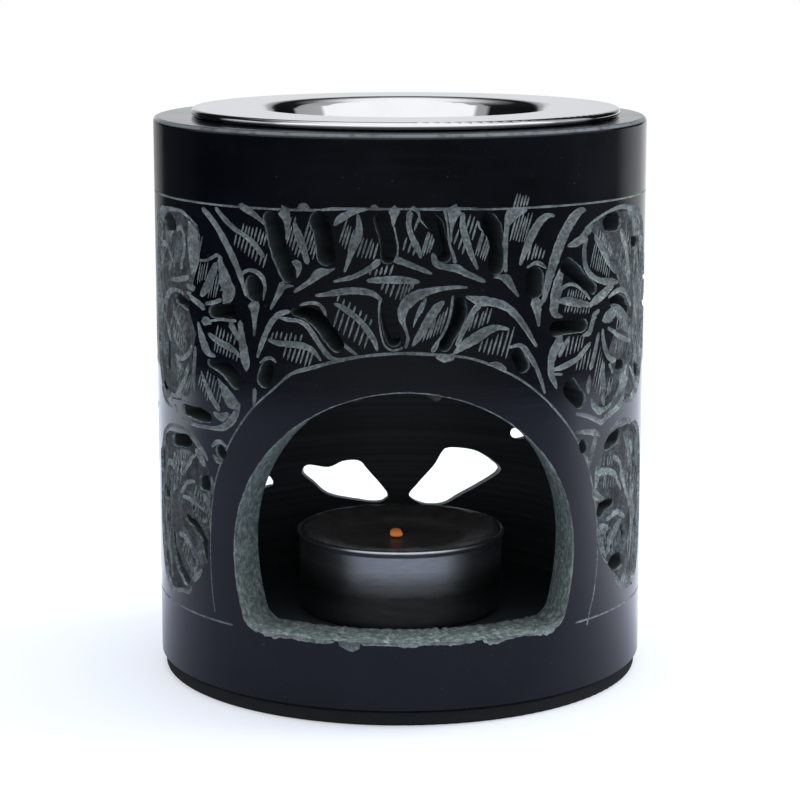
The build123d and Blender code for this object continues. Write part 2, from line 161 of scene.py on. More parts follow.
# Strokes of the gouge on the front: points of (u, z, width)
crown_strokes = [
    [(-30.0, 89.6, 1.2), (-28, 88.8, 1.2), (-26, 87.6, 0.7), (-24.2, 86.2, 0.3)],
    [(-35.9, 88.7, 0.8), (-34, 87.2, 1.0), (-31.5, 85.6, 0.9), (-29.5, 84.7, 0.9), (-27.2, 83.3, 1.1),
     (-25.4, 81.4, 0.9)],
    [(-21.2, 89.2, 2.4), (-20.6, 87.6, 1.3), (-20.5, 86, 0.8), (-20.8, 84.5, 0.3)],
    [(-19.2, 87.3, 0.6), (-18.7, 85.9, 1.3), (-18, 84.2, 1.5), (-17.4, 82.5, 1.3), (-16.9, 80.8, 0.9)],
    [(-18.2, 90, 0.9), (-17.4, 90.2, 1.3), (-16.7, 89.9, 0.8)],
    [(-19.3, 80.6, 1.0), (-18.6, 80.3, 1.5), (-18.5, 79.3, 0.9), (-18.8, 78.1, 0.2)],
    [(-19.2, 75.7, 0.6), (-17.8, 76.6, 0.8), (-16.2, 77.7, 1.0), (-14.8, 79, 1.7), (-13.2, 79.4, 0.8),
     (-12, 79.9, 0.2)],
    [(-23.9, 72.4, 0.4), (-23, 74, 0.8), (-22, 75.7, 1.2), (-21.6, 76.8, 1.2)],
    [(-22, 75.9, 0.9), (-20.8, 76.5, 0.7), (-19.5, 76.6, 0.25)],
    [(-29.8, 78.1, 0.6), (-28.5, 78.7, 0.6), (-27, 78.6, 0.8), (-25.6, 77.7, 0.9), (-25.0, 76.2, 0.7),
     (-25.2, 75, 0.5), (-25.4, 73.8, 0.2)],
    [(-27.4, 72.7, 2.4), (-27.3, 71, 1.4), (-27.3, 69, 0.7), (-27.4, 67.6, 0.5)],
    [(-26.7, 63.9, 0.5), (-26.1, 65.5, 0.9), (-25.2, 67.6, 1.0), (-24, 69.8, 1.0), (-22.6, 71.4, 1.0),
     (-21.2, 72, 0.9), (-20.3, 72.2, 0.6)],
    [(-22.3, 71.1, 0.4), (-20.6, 70.8, 0.7), (-18.6, 70.7, 0.7), (-17, 69.9, 0.9), (-15.8, 68.4, 0.9),
     (-14.7, 66.8, 0.9), (-13.5, 65.3, 0.9), (-12.2, 64.4, 0.8), (-10.5, 64.4, 0.6)],
    [(-18.2, 73.4, 0.3), (-17.4, 73.7, 0.5), (-16, 73.9, 0.6), (-14.8, 73.7, 0.6), (-13.9, 72.7, 0.6),
     (-13.5, 71.3, 0.4), (-12.4, 69.2, 0.5), (-11, 67.5, 0.5), (-9.6, 66.3, 0.7), (-8.3, 65.4, 0.4)],
    [(-24.3, 67.0, 0.6), (-22.5, 66.6, 1.0), (-20, 66.6, 1.1), (-17.5, 66.4, 1.1), (-15.8, 65.6, 0.8),
     (-14.6, 64.2, 0.4)],
    [(-12.1, 77.7, 0.4), (-10.6, 78.1, 0.7), (-8.8, 78.6, 0.8), (-7, 79.5, 0.9), (-5.4, 80.5, 1.1),
     (-4.6, 81.3, 1.0)],
    [(-12, 87.2, 0.4), (-11.3, 88.1, 1.2), (-10.2, 88.8, 1.3), (-8.8, 89.5, 1.0), (-6.5, 90, 0.4)],
    [(-8.0, 89, 0.5), (-7.8, 87.5, 1.0), (-7.9, 85.8, 1.4), (-8.6, 84, 1.3), (-9.3, 82.3, 1.0),
     (-9.8, 80.8, 0.7), (-10.3, 79.5, 0.4)],
    [(-5.7, 90.2, 0.7), (-5.2, 90.4, 0.9), (-4.7, 90.2, 0.5)],
    [(-1.9, 89.7, 1.9), (-2, 88.5, 1.0), (-2.1, 87.2, 0.3)],
    [(-1.9, 87, 0.3), (-1.6, 85.5, 0.3), (-1.3, 83.8, 0.3), (-1.4, 82.3, 0.3)],
    [(-1.9, 81.7, 1.2), (-0.5, 81.2, 1.1), (1.5, 80.4, 0.9), (3.2, 79.7, 0.7), (4.3, 79.2, 0.4)],
    [(-6.3, 78, 0.6), (-4.8, 78.1, 1.1), (-2.5, 78.2, 1.3), (0, 78.1, 1.3), (1.5, 77.9, 0.9),
     (2.2, 77.8, 0.4)],
    [(-15.3, 75.2, 0.5), (-13.5, 75.5, 0.8), (-11.5, 75.9, 1.1), (-9.5, 76.2, 1.2), (-7.5, 76.2, 1.2),
     (-5.8, 75.9, 1.0), (-4.7, 75.3, 0.8), (-4.2, 74.8, 0.5)],
    [(-12, 73.9, 0.5), (-10.8, 73.4, 0.9), (-9, 72.2, 1.0), (-7.3, 70.7, 1.0), (-6, 69, 1.0),
     (-5.2, 67.6, 0.9), (-4.8, 66.2, 0.4)],
    [(10.4, 76.7, 0.4), (8.5, 76.8, 0.6), (6, 76.6, 0.8), (3.5, 76.1, 1.3), (1.2, 75.1, 2.0),
     (-0.3, 73.5, 1.9), (-0.6, 71.5, 1.1), (0, 69.8, 0.5), (0.4, 68.2, 0.5), (0, 66.7, 0.5)],
    [(-4.2, 75, 0.5), (-4.5, 73, 0.3), (-4.3, 70, 0.3), (-3.6, 67.2, 0.3), (-2.2, 66.2, 0.4),
     (-0.6, 66.6, 0.4)],
    [(-26.2, 62.9, 0.3), (-25, 63.7, 0.7), (-23.8, 63.9, 0.6), (-23, 63.3, 0.3)],
    [(-27.4, 58, 0.9), (-27.5, 56.5, 0.8), (-27.7, 55.2, 0.4)],
    [(0.7, 89.4, 1.1), (0.5, 87.5, 0.9), (0.9, 85.8, 0.9), (1.6, 84.2, 1.1), (2.2, 83, 0.9), (2.5, 82, 0.5)],
    [(1.2, 90.3, 0.7), (2.1, 89.5, 0.5), (2.4, 88.3, 0.3), (3.3, 87.3, 0.25), (4.2, 86.5, 0.3)],
    [(6.6, 89.6, 0.6), (7, 87.5, 0.3), (7.2, 85.5, 0.35), (7.5, 83.8, 0.4), (8.1, 82.2, 0.5),
     (8.3, 81.1, 0.7)],
    [(4.6, 82.4, 0.7), (5.2, 80.8, 1.2), (7, 80.2, 1.0), (8.6, 80, 1.4), (10.2, 79.1, 1.1), (12, 78.3, 0.9),
     (13.5, 77.6, 0.6)],
    [(8.2, 89.6, 2.6), (7.9, 88.3, 1.4), (7.7, 86.5, 0.5), (7.6, 84.5, 0.4)],
    [(9.7, 89, 0.8), (9.6, 87.5, 1.0), (9.9, 86, 1.2), (10.4, 84.3, 1.2), (11, 82.6, 1.0), (11.7, 81, 0.8),
     (12.2, 79.9, 0.5)],
    [(12.2, 87.8, 0.3), (12.9, 86.8, 1.0), (13.7, 86, 0.6), (14.1, 84.5, 0.3)],
    [(18.3, 89, 1.9), (17.7, 87.5, 1.2), (17.4, 85, 0.8), (17.4, 82.5, 0.7), (17.3, 80.5, 0.7),
     (17.4, 79.2, 0.7)],
    [(15.3, 78.2, 0.3), (16.5, 78.2, 0.9), (17.6, 77.8, 1.6), (18.4, 76.7, 1.2), (19.2, 75.6, 0.7),
     (19.8, 74.8, 0.4)],
    [(21.2, 89.3, 0.6), (19.6, 88.9, 1.4), (18.3, 88, 1.4), (17.5, 86.8, 0.8)],
    [(27, 88, 0.4), (25.8, 88.1, 0.9), (24.4, 87.5, 1.4), (23.2, 86.2, 1.6), (22.2, 84.6, 1.5),
     (21.4, 83, 1.3), (20.7, 81.5, 1.0), (20.2, 80.2, 0.6)],
    [(21.6, 79.6, 0.4), (23.2, 80.2, 0.7), (24.5, 79.8, 0.8), (25.3, 79.2, 0.4)],
    [(34.4, 88.4, 0.5), (33.3, 88.4, 1.3), (31.5, 87.3, 2.1), (29.8, 85.4, 2.2), (28.3, 82.9, 2.1),
     (27, 79.9, 2.0), (26, 77.1, 1.6), (25.4, 75, 1.2), (24.9, 73.4, 0.7)],
    [(23.6, 73.3, 2.6), (23.7, 72, 1.6), (23.9, 70.5, 0.9), (24, 69.4, 0.5)],
    [(10.4, 75.1, 0.5), (12.5, 74.4, 1.5), (15, 74, 1.5), (17.3, 73.2, 1.4), (19.3, 71.6, 1.2),
     (21, 69.6, 1.1), (22.3, 67.7, 0.9), (23.5, 65.9, 0.5)],
    [(12.5, 73.6, 1.2), (11.4, 72.3, 1.0), (10.5, 70.5, 0.9), (9.6, 68.9, 0.9), (8.8, 67, 0.9)],
    [(6.3, 74.3, 0.7), (5.3, 73.4, 1.5), (4.2, 71.8, 1.6), (3, 69.9, 1.2), (2, 68.2, 1.0), (1.2, 67.1, 0.5)],
    [(8, 75.3, 0.4), (7.7, 73, 0.4), (7.2, 71, 0.4), (6.4, 69, 0.5), (5.2, 67, 0.8), (4.6, 66.1, 0.8)],
    [(5.3, 65.1, 0.6), (6.6, 64.6, 1.1), (8, 65, 1.2)],
    [(8.3, 65.6, 0.6), (10, 66.9, 1.5), (12, 68, 1.9), (14, 69.1, 1.6), (16, 69.6, 1.0), (18, 69.2, 0.4)],
    [(14.2, 63.4, 0.4), (16, 63.2, 1.1), (17.4, 62.4, 0.8)],
    [(18.4, 66.1, 0.5), (20, 66.3, 0.7), (21.1, 65.7, 1.0), (22, 64.5, 1.0), (22.8, 63.2, 0.8),
     (23.4, 62.3, 0.6)],
    [(20.5, 65.9, 0.4), (22.3, 64.4, 0.7), (24.2, 60.8, 0.8), (25.4, 57.6, 0.5)],
]

# Strokes of the side clusters, above and below
left_upper_strokes = [
    [(-39.5, 88.3, 0.7), (-38, 87.4, 0.9), (-36, 85.8, 1.0), (-34, 83.5, 1.1), (-32.2, 81, 1.1),
     (-30.8, 78.6, 1.0), (-29.8, 76.4, 0.8), (-29.1, 74.3, 0.4)],
    [(-61, 84.5, 0.8), (-57, 86.8, 0.6), (-54, 87.1, 0.6), (-50, 87.3, 0.6), (-46.5, 87.2, 0.6),
     (-44, 86.3, 0.6), (-42, 85.4, 0.4)],
    [(-49.3, 83.8, 0.6), (-47.6, 84.3, 0.8), (-46.7, 83.4, 0.8), (-46.5, 81, 0.8), (-46.9, 79, 0.7),
     (-47.7, 77.2, 0.6)],
    [(-44.6, 85.4, 0.8), (-43.4, 83, 2.4), (-43, 80, 2.8), (-43.5, 77.3, 1.4)],
    [(-41, 79.3, 0.3), (-38.8, 79.5, 0.4), (-37, 80.2, 0.5), (-35.8, 80.7, 0.5), (-34.9, 80.0, 0.8)],
    [(-36.2, 78.9, 1.0), (-37.2, 77.2, 1.5), (-38.5, 75.2, 1.5), (-39.8, 73.8, 1.2), (-40.5, 73.3, 0.6)],
    [(-35.3, 80.0, 0.7), (-34.5, 78, 1.8), (-33.8, 76, 2.5), (-33.4, 74.4, 2.8), (-33.9, 73.3, 1.8)],
    [(-39, 71.9, 0.5), (-37, 72.3, 0.6), (-35.2, 72.9, 0.6)],
    [(-52, 74.7, 0.5), (-49.5, 74.9, 0.7), (-47, 75.4, 0.8), (-45, 75.8, 0.7)],
    [(-45.3, 74.3, 0.6), (-43.8, 74, 1.0), (-42.6, 74.3, 0.8)],
    [(-45.3, 73.1, 0.5), (-43.5, 72.4, 0.8), (-41.5, 71.8, 0.9), (-39.8, 71.1, 0.9)],
    [(-56.5, 70, 1.0), (-54, 71.8, 1.2), (-51.6, 72.8, 0.7), (-49, 73, 0.5), (-47, 72.6, 0.4)],
    [(-39.8, 68.7, 1.3), (-38.6, 68.9, 1.1), (-37.9, 68.6, 0.6)],
    [(-38.3, 66.6, 0.6), (-36.8, 66, 0.9), (-35, 65.4, 1.0), (-33, 64.9, 1.0), (-31.3, 64.1, 0.7),
     (-30.6, 63.5, 0.4)],
    [(-41.4, 68.1, 0.7), (-40.5, 66, 1.3), (-39.6, 64.4, 1.7), (-38.5, 63.3, 1.0), (-36.8, 62.9, 0.4)],
    [(-37.8, 69, 0.3), (-35.5, 69.5, 0.4), (-33.3, 69.6, 0.4), (-31.5, 69.7, 0.4)],
    [(-30.4, 69.3, 0.9), (-30.2, 67, 1.2), (-29.8, 65, 1.5), (-29.4, 63, 1.6), (-29.2, 61.6, 0.8)],
    [(-32.6, 68.9, 1.1), (-31.6, 67.6, 0.9), (-30.9, 66.4, 0.5)],
    [(-51, 61.1, 0.6), (-49, 60.9, 0.7), (-47, 61.3, 0.8), (-45.3, 62.3, 0.8), (-44, 63.7, 0.6)],
    [(-52, 69, 0.5), (-50, 67.6, 0.9), (-48, 65.8, 0.9), (-46.2, 64.3, 0.5)],
    [(-42.5, 63.6, 0.6), (-42.8, 61.5, 0.9), (-43.1, 59.5, 0.9), (-43.2, 57.8, 0.7), (-43, 56, 0.4)],
    [(-51, 53.9, 0.5), (-49, 55.5, 0.9), (-47.3, 57.4, 0.9), (-46, 59.3, 0.8), (-45.2, 60.3, 0.4)],
    [(-40.7, 59.6, 0.4), (-39.7, 58, 0.8), (-38.5, 56.3, 1.0), (-37.2, 54.8, 1.0), (-36, 53.7, 0.8)],
    [(-36, 59.0, 0.3), (-34.7, 57.4, 1.4), (-33.4, 56, 2.0), (-32.3, 55.1, 1.8), (-31, 55.1, 0.5)],
    [(-30.9, 55, 0.5), (-31.7, 53.4, 1.1), (-33, 51.8, 1.3), (-34.8, 50.6, 1.0), (-37, 50.1, 0.6),
     (-40, 49.9, 0.5), (-43, 49.8, 0.5), (-45.5, 50, 0.5), (-47.3, 50.3, 0.5)],
    [(-37.2, 52.8, 0.5), (-35.4, 52.3, 1.2), (-33.8, 53, 0.9)],
    [(-53.5, 53.6, 0.6), (-51, 53.7, 0.6), (-48.5, 54.0, 0.6), (-46.3, 54.1, 0.4)],
    [(-50.9, 51.9, 0.8), (-49.6, 51.2, 0.7)],
    [(-54, 87.0, 0.6), (-57.4, 85.4, 1.0), (-59.6, 82, 1.2), (-61, 77, 1.2), (-61.3, 69, 1.1),
     (-60.9, 62, 1.1),
     (-59, 56, 1.1), (-56, 53.4, 1.0), (-52, 52.6, 0.6)],
    [(-58.5, 80, 0.5), (-56, 80.6, 0.9), (-53.5, 79.6, 0.9), (-51.6, 78, 0.5)],
    [(-58.8, 54, 0.5), (-57, 52.6, 0.9), (-54.5, 51.8, 0.8), (-52.3, 51.6, 0.5)],
    [(-58.2, 68.5, 0.5), (-56.3, 67, 0.9), (-54.4, 65.2, 0.9), (-53.2, 63.5, 0.5)],
]

right_upper_strokes = [
    [(34.5, 85.3, 0.3), (36.5, 86.2, 0.4), (39.5, 87.2, 0.4), (42, 87.7, 0.5), (45, 88, 0.6), (48, 87.8, 0.7),
     (51, 87.1, 0.7), (54, 86.1, 0.6)],
    [(30.3, 82.6, 0.4), (31.8, 82.9, 1.1), (33.4, 83.4, 1.3), (35, 84.6, 1.2), (36.6, 85.6, 0.7)],
    [(37.3, 83.6, 0.8), (38.8, 82.0, 1.2), (40.3, 80.2, 1.3), (41.8, 78.6, 1.1), (43, 77.4, 0.8),
     (44, 76.6, 0.4)],
    [(34.7, 83.6, 0.9), (34.3, 81.5, 0.9), (34.6, 79, 0.9), (35.7, 77.4, 0.9), (37.4, 76.3, 0.8),
     (39.5, 75.6, 0.9), (42, 75.2, 1.1), (44, 74.9, 0.7), (45, 74.8, 0.3)],
    [(36.2, 71.9, 0.5), (37.6, 72.4, 1.3), (39.5, 73.1, 1.4), (41.5, 73.9, 1.2), (43.3, 74.5, 0.6)],
    [(28.3, 73.3, 0.7), (30.5, 73, 1.2), (33, 72.4, 1.1), (35, 72, 0.9), (36.5, 71.6, 0.4)],
    [(28.6, 75.2, 0.6), (30.5, 75.9, 0.5), (32.5, 75.5, 0.5), (34.5, 74.2, 0.5), (36, 72.8, 0.4)],
    [(28.3, 76.2, 0.6), (28.1, 75, 1.5), (27.4, 73.5, 1.4), (27, 72, 1.2), (27.7, 70.9, 0.9),
     (29, 70.5, 0.4)],
    [(38.6, 70.5, 0.5), (37.4, 69.8, 1.0), (36.6, 68.3, 0.9), (36, 67, 0.9), (34.2, 66.6, 0.4)],
    [(41.7, 72.5, 0.4), (43.5, 73.1, 0.7), (45.7, 73.3, 0.8), (48, 72.8, 0.8), (50, 71.4, 0.8),
     (51.6, 69.8, 0.6)],
    [(40.3, 68.7, 1.2), (42, 69.1, 1.9), (44, 69.6, 1.4), (45.5, 70, 0.7)],
    [(41.7, 67, 0.5), (44, 66, 0.7), (47, 64.7, 0.8), (50, 63.8, 0.7), (52, 63.3, 0.5)],
    [(27.3, 61.4, 0.5), (29, 61.6, 0.8), (31, 62.1, 0.9), (33, 62.8, 0.8), (35, 64.2, 0.8), (36.2, 65, 0.5)],
    [(28.6, 66.4, 1.6), (27.3, 64.5, 1.5), (26.7, 62.5, 1.2), (26.8, 60.5, 1.0), (27.5, 59.2, 0.8),
     (28, 58.1, 0.4)],
    [(30.8, 66.7, 0.4), (29.7, 65.4, 0.7), (28.6, 63.8, 0.6)],
    [(27.6, 60.6, 0.4), (29.2, 60.4, 0.3)],
    [(36.2, 59.2, 0.5), (36, 57.8, 1.1), (35.9, 56.5, 0.7)],
    [(38.6, 66.3, 0.7), (38, 64.5, 0.8), (37.3, 62.5, 0.9), (36.5, 60.7, 0.8)],
    [(39.9, 66.9, 0.5), (40.1, 65.2, 0.9), (40.8, 63.5, 1.0), (42, 62, 1.1), (43.5, 61.1, 0.9),
     (45, 60.9, 0.5)],
    [(42.3, 60.4, 0.6), (43.3, 59.6, 0.8), (44, 58.8, 0.5)],
    [(40.3, 61, 0.6), (40.1, 59, 1.1), (40.3, 57.2, 1.3), (40.7, 55.5, 1.0), (41.2, 53.9, 0.7),
     (41.4, 53.3, 0.3)],
    [(36.8, 55, 0.4), (37.5, 53.8, 1.0), (38.8, 52.8, 1.1), (40.3, 52.4, 0.9), (42, 52.6, 0.7),
     (43.3, 53.2, 0.6)],
    [(32.8, 53, 0.4), (35, 52.4, 0.6), (37.2, 51.6, 0.7), (38.8, 50.9, 0.8), (40, 50.5, 0.8),
     (41.5, 51, 0.7), (44, 51.7, 0.7), (47, 52.6, 0.8), (49, 54, 0.8)],
    [(45.6, 54.3, 0.6), (47.2, 55.8, 1.6), (49, 57.6, 1.6), (50.4, 59, 0.5)],
    [(46.2, 83.6, 0.5), (48, 81.6, 0.9), (49.4, 79.3, 0.9), (50.2, 77, 0.5)],
    [(53, 80.5, 0.5), (55, 79.3, 0.9), (56.6, 77, 0.8), (57.2, 74.6, 0.5)],
    [(53.5, 70.5, 0.5), (55.3, 68.6, 0.9), (56.3, 66, 0.9), (56.4, 63.6, 0.5)],
    [(52.4, 58.6, 0.5), (54, 56.4, 0.9), (56, 55, 0.8), (58, 54.5, 0.5)],
    [(54, 86.2, 0.6), (57, 85, 1.0), (59.4, 82.4, 1.2), (60.9, 78, 1.2), (61.3, 70, 1.1), (60.9, 63, 1.1),
     (59.6, 57.6, 1.1), (56.6, 54.2, 1.0), (53, 52.8, 0.9), (49, 52.8, 0.5)],
]

# Leaves of the plain strip between the lower clusters, the same on both sides
far_leaves = [
    [(64.9, 19, 0.5), (66.8, 26, 1.2), (67.2, 34, 1.3), (66.2, 41, 1.2), (64.4, 48.4, 0.5)],
    [(67.8, 23.4, 0.5), (69.9, 26.8, 1.5), (70.9, 31.2, 1.3), (70.7, 34.6, 0.5)],
    [(67.9, 36.2, 0.5), (70.2, 39.6, 1.5), (70.9, 43.8, 1.3), (70.2, 47.4, 0.5)],
    [(63.6, 50.4, 0.5), (66.4, 49.2, 1.2), (69.6, 50.6, 1.2), (72, 49.6, 0.5)],
]

left_lower_strokes = [
    [(-56, 46.9, 0.6), (-53.5, 47.9, 0.7), (-50, 48.4, 0.6), (-46.5, 48.3, 0.6), (-44.3, 47.7, 0.8),
     (-42.3, 46.5, 1.0), (-40.5, 45.4, 0.8), (-39.3, 44.2, 0.5)],
    [(-43.3, 45.2, 0.6), (-42, 44.4, 1.4), (-40.9, 43, 1.0)],
    [(-48.5, 39.9, 0.5), (-47, 41, 0.8), (-45.8, 42.3, 0.8), (-44.8, 43.5, 0.7), (-43.3, 44.2, 0.5)],
    [(-38.2, 41.2, 0.3), (-37.9, 39.8, 0.7), (-38.2, 38.3, 0.4)],
    [(-49.5, 36.2, 0.4), (-48.5, 37.2, 0.8), (-47.3, 38.3, 0.7), (-45.8, 39, 0.6), (-43.8, 39.4, 0.4)],
    [(-48.5, 35.8, 0.4), (-46.5, 35.9, 0.7), (-44.5, 35.5, 0.7), (-42.5, 35, 0.5), (-41, 34.5, 0.4)],
    [(-41, 37.3, 0.9), (-39.7, 36.3, 1.1), (-39.0, 34.5, 0.9), (-38.9, 32.5, 0.8), (-38.9, 30.8, 0.4)],
    [(-41.6, 23.6, 0.6), (-42.7, 22.6, 1.1), (-44, 21.7, 1.1), (-45.2, 21.3, 0.4)],
    [(-54.4, 17.2, 0.6), (-51, 17.9, 0.6), (-48.5, 18.4, 0.5), (-46.2, 18.6, 0.6), (-45.1, 19.6, 0.5)],
    [(-53, 17.1, 0.5), (-56.6, 18.6, 1.0), (-59.2, 21.8, 1.1), (-61, 27, 1.1), (-61.2, 34, 1.1),
     (-60.2, 40.8, 1.1), (-57.6, 45.6, 1.0), (-54.6, 47.4, 0.6)],
    *([(-u, *rest) for u, *rest in stroke] for stroke in far_leaves),
    [(-50.6, 28.6, 0.5), (-48.4, 28.4, 0.9), (-46, 27.2, 1.1), (-44.4, 25.6, 0.9), (-43.4, 24.4, 0.5)],
    [(-57.5, 29.2, 0.5), (-56, 26, 0.9), (-55.2, 22.5, 0.8), (-54.4, 19.6, 0.5)],
    [(-57.8, 39.5, 0.5), (-55.4, 40.8, 0.9), (-53, 40.6, 0.9), (-51, 39, 0.5)],
    [(-37.8, 46.8, 0.4), (-36.8, 47.6, 0.7), (-35.4, 47.9, 0.6), (-34.3, 47.3, 0.4)],
    [(-37.6, 45.2, 0.4), (-36.5, 44.4, 0.8), (-35.4, 44.3, 0.5)],
]

right_lower_strokes = [
    [(43, 48.6, 0.4), (45, 49.2, 0.6), (47.5, 49.5, 0.7), (50, 49.2, 0.7), (52.5, 48.3, 0.6)],
    [(39.9, 44.0, 0.5), (39.3, 42.8, 1.1), (38.9, 41.3, 1.2), (38.7, 40, 0.9), (38.4, 39, 0.6)],
    [(37.9, 38.3, 1.0), (38.9, 37.4, 1.7), (40.2, 36.8, 0.9), (41.5, 36.4, 0.4)],
    [(39.5, 41.4, 1.2), (41.5, 41.3, 1.2), (43.5, 40.9, 1.0), (45.5, 40, 0.9), (47, 38.6, 0.8),
     (48.3, 37, 0.7)],
    [(45, 43.3, 0.6), (47, 42.2, 0.9), (48.6, 39.8, 1.0), (50, 37, 0.9), (51.8, 34.6, 0.6)],
    [(39.7, 31, 1.0), (40.5, 28.6, 1.5), (41.3, 26.9, 1.4), (42.2, 25.4, 1.1), (42.6, 24.5, 0.5)],
    [(43.1, 26, 0.7), (44, 27.4, 1.2), (45.3, 29, 1.4), (47, 30.4, 1.4), (48.4, 31, 0.6)],
    [(39.9, 31.2, 0.5), (41.4, 31.3, 0.8), (43, 31, 0.5)],
    [(43, 32.2, 0.5), (44.8, 32.8, 0.8), (47, 32.9, 0.8), (48.7, 32, 0.7), (50.5, 31.3, 0.6)],
    [(45.5, 21.1, 0.4), (47, 20, 0.8), (49, 18.8, 1.1), (51.5, 18.2, 0.8), (54.4, 17.9, 0.6)],
    [(52.6, 17.9, 0.5), (56, 18.8, 1.0), (58.8, 21.8, 1.1), (60.8, 27, 1.1), (61.3, 34, 1.1), (60.4, 41, 1.1),
     (58.2, 45.8, 1.0), (54.8, 48.1, 0.6)],
    *far_leaves,
    [(53, 45, 0.5), (54.6, 42.6, 0.9), (54.9, 40, 0.8), (54.2, 37.6, 0.5)],
    [(54, 31.5, 0.5), (55.2, 28.6, 0.9), (55, 25.6, 0.8), (53.8, 22.6, 0.5)],
    [(33, 49.7, 0.5), (35.5, 49.4, 0.7), (38, 48.9, 0.9), (39.3, 48.3, 0.5)],
    [(38.3, 48.3, 0.7), (37.6, 46.4, 1.2), (36.9, 44.7, 1.3), (36.5, 43.2, 0.4)],
    [(35.5, 45.2, 0.3), (36, 44.4, 0.7), (36.4, 43.6, 0.3)],
]

# Broad shallow hollows of the side clusters, scraped matt, with the hatching cut into them
right_upper_scoops = [
    [(49.5, 86.9, 1.6), (52, 86.2, 3.2), (55, 83.8, 5.5), (56.8, 79, 7.5), (57.4, 73, 8.2), (57.4, 67, 8.2),
     (57, 61, 7.2), (55.8, 56.4, 4.5)],
    [(51.6, 66.4, 1.2), (51.4, 62.2, 2.4), (50.2, 58.4, 3.4), (47.6, 54.9, 3.2), (44.4, 52.8, 2.2),
     (41.4, 51.7, 1.2)],
    [(43.4, 70.6, 1.4), (46, 69.4, 3.0), (48.8, 67.6, 3.8), (51.4, 65.8, 2.4)],
    [(28.8, 78.4, 1.2), (28, 76.4, 2.0), (27.5, 73.9, 2.2), (27.3, 71.2, 1.4)],
    [(46.6, 83.4, 1.4), (48.6, 80.6, 2.6), (49.8, 77.2, 2.4), (50.2, 74.4, 1.2)],
]
right_lower_scoops = [
    [(49.6, 46.6, 1.6), (52.6, 44.6, 4.0), (54.4, 41, 6.0), (54.6, 37, 6.0), (53.2, 33.8, 3.4)],
    [(54.4, 32.8, 2.4), (55.6, 28.8, 5.4), (55.2, 24.6, 6.0), (53.2, 21, 4.8), (50.2, 18.8, 2.4)],
    [(40.6, 31.6, 1.2), (42.4, 30.2, 2.2), (44.2, 28, 2.4), (44.6, 25.8, 1.2)],
]
left_upper_scoops = [
    [(-50.6, 85.6, 1.0), (-52.8, 83, 2.8), (-54, 80, 3.8), (-53.6, 77, 2.2)],
    [(-57.4, 82.4, 1.2), (-58.4, 78, 2.6), (-58.6, 72, 3.0), (-58.4, 66, 3.0), (-57.6, 60, 1.6)],
    [(-52.2, 70.6, 1.4), (-51, 68, 3.8), (-49.4, 65.2, 4.0), (-47.6, 62.6, 1.8)],
    [(-49.6, 60.2, 1.4), (-48.7, 58, 3.2), (-48.7, 56, 3.2), (-49.6, 54.4, 1.4)],
    [(-43.6, 86.2, 1.0), (-42.4, 83, 2.0), (-41.9, 79.8, 2.2), (-42.6, 77, 1.2)],
]
left_lower_scoops = [
    [(-44.6, 44.2, 1.2), (-48.6, 42.8, 3.2), (-51.8, 40.4, 4.2), (-52.8, 37, 2.4)],
    [(-46.2, 36.9, 1.2), (-43.4, 35.2, 2.8), (-40.9, 33.2, 2.2)],
    [(-48.6, 29.9, 1.4), (-46.6, 27.2, 3.4), (-45.2, 24.6, 3.4), (-44.4, 22.6, 1.6)],
    [(-56.8, 43.4, 1.0), (-58.2, 38, 2.4), (-58.2, 31, 2.6), (-57.2, 25, 2.4), (-55, 20.6, 1.2)],
]

# Sunk matt ground round them: outlines of (u, z)
right_upper_ground = [
    (36, 84.9), (38.6, 86.6), (43, 87.3), (50.5, 86.8), (55.6, 85.6), (59.2, 82.6), (60.8, 78), (61.2, 70),
    (60.8, 63), (59.4, 57.6), (56.4, 54.4), (53, 53.2), (50, 53.4), (45, 51.6), (40.5, 51.4),
    (38.4, 53.4), (41.6, 56), (43.2, 59.6), (41.8, 62.6), (43.5, 65.4), (46.4, 67.6),
    (44.8, 70.6), (46, 74.2), (42.4, 78.6), (38.4, 82.6),
]
right_lower_ground = [
    (51, 48.3), (45, 48.4), (42.3, 47.0), (40.3, 44.3), (39.4, 39.5), (39.7, 34.8), (39.9, 29), (43.2, 24.1),
    (49.2, 19.1), (54, 18.1), (57.6, 20.2), (60.2, 25), (61.2, 33), (60.4, 41), (58, 46), (55, 48.1),
]
left_upper_ground = [
    (-41.2, 85.4), (-44, 86.7), (-48, 87.4), (-54, 86.8), (-58.6, 83.8), (-60.8, 78), (-61.2, 70),
    (-60.8, 62), (-58.8, 56.2), (-54.6, 53.0), (-49, 53.2), (-44.8, 54.8), (-43.9, 58),
    (-43.6, 62), (-42.9, 66),
    (-44.8, 71), (-42.6, 75.5), (-41.0, 79.5), (-40.7, 83),
]
left_lower_ground = [
    (-54, 46.9), (-48, 47.4), (-44.5, 47.0), (-40.7, 44.9), (-39.2, 42), (-38.5, 38), (-38.9, 31),
    (-40.7, 25), (-44.4, 21), (-49.5, 17.9), (-54.4, 17.6), (-58.4, 20.4), (-60.8, 25.6), (-61.2, 33),
    (-60.2, 40.6), (-57.6, 45.4),
]

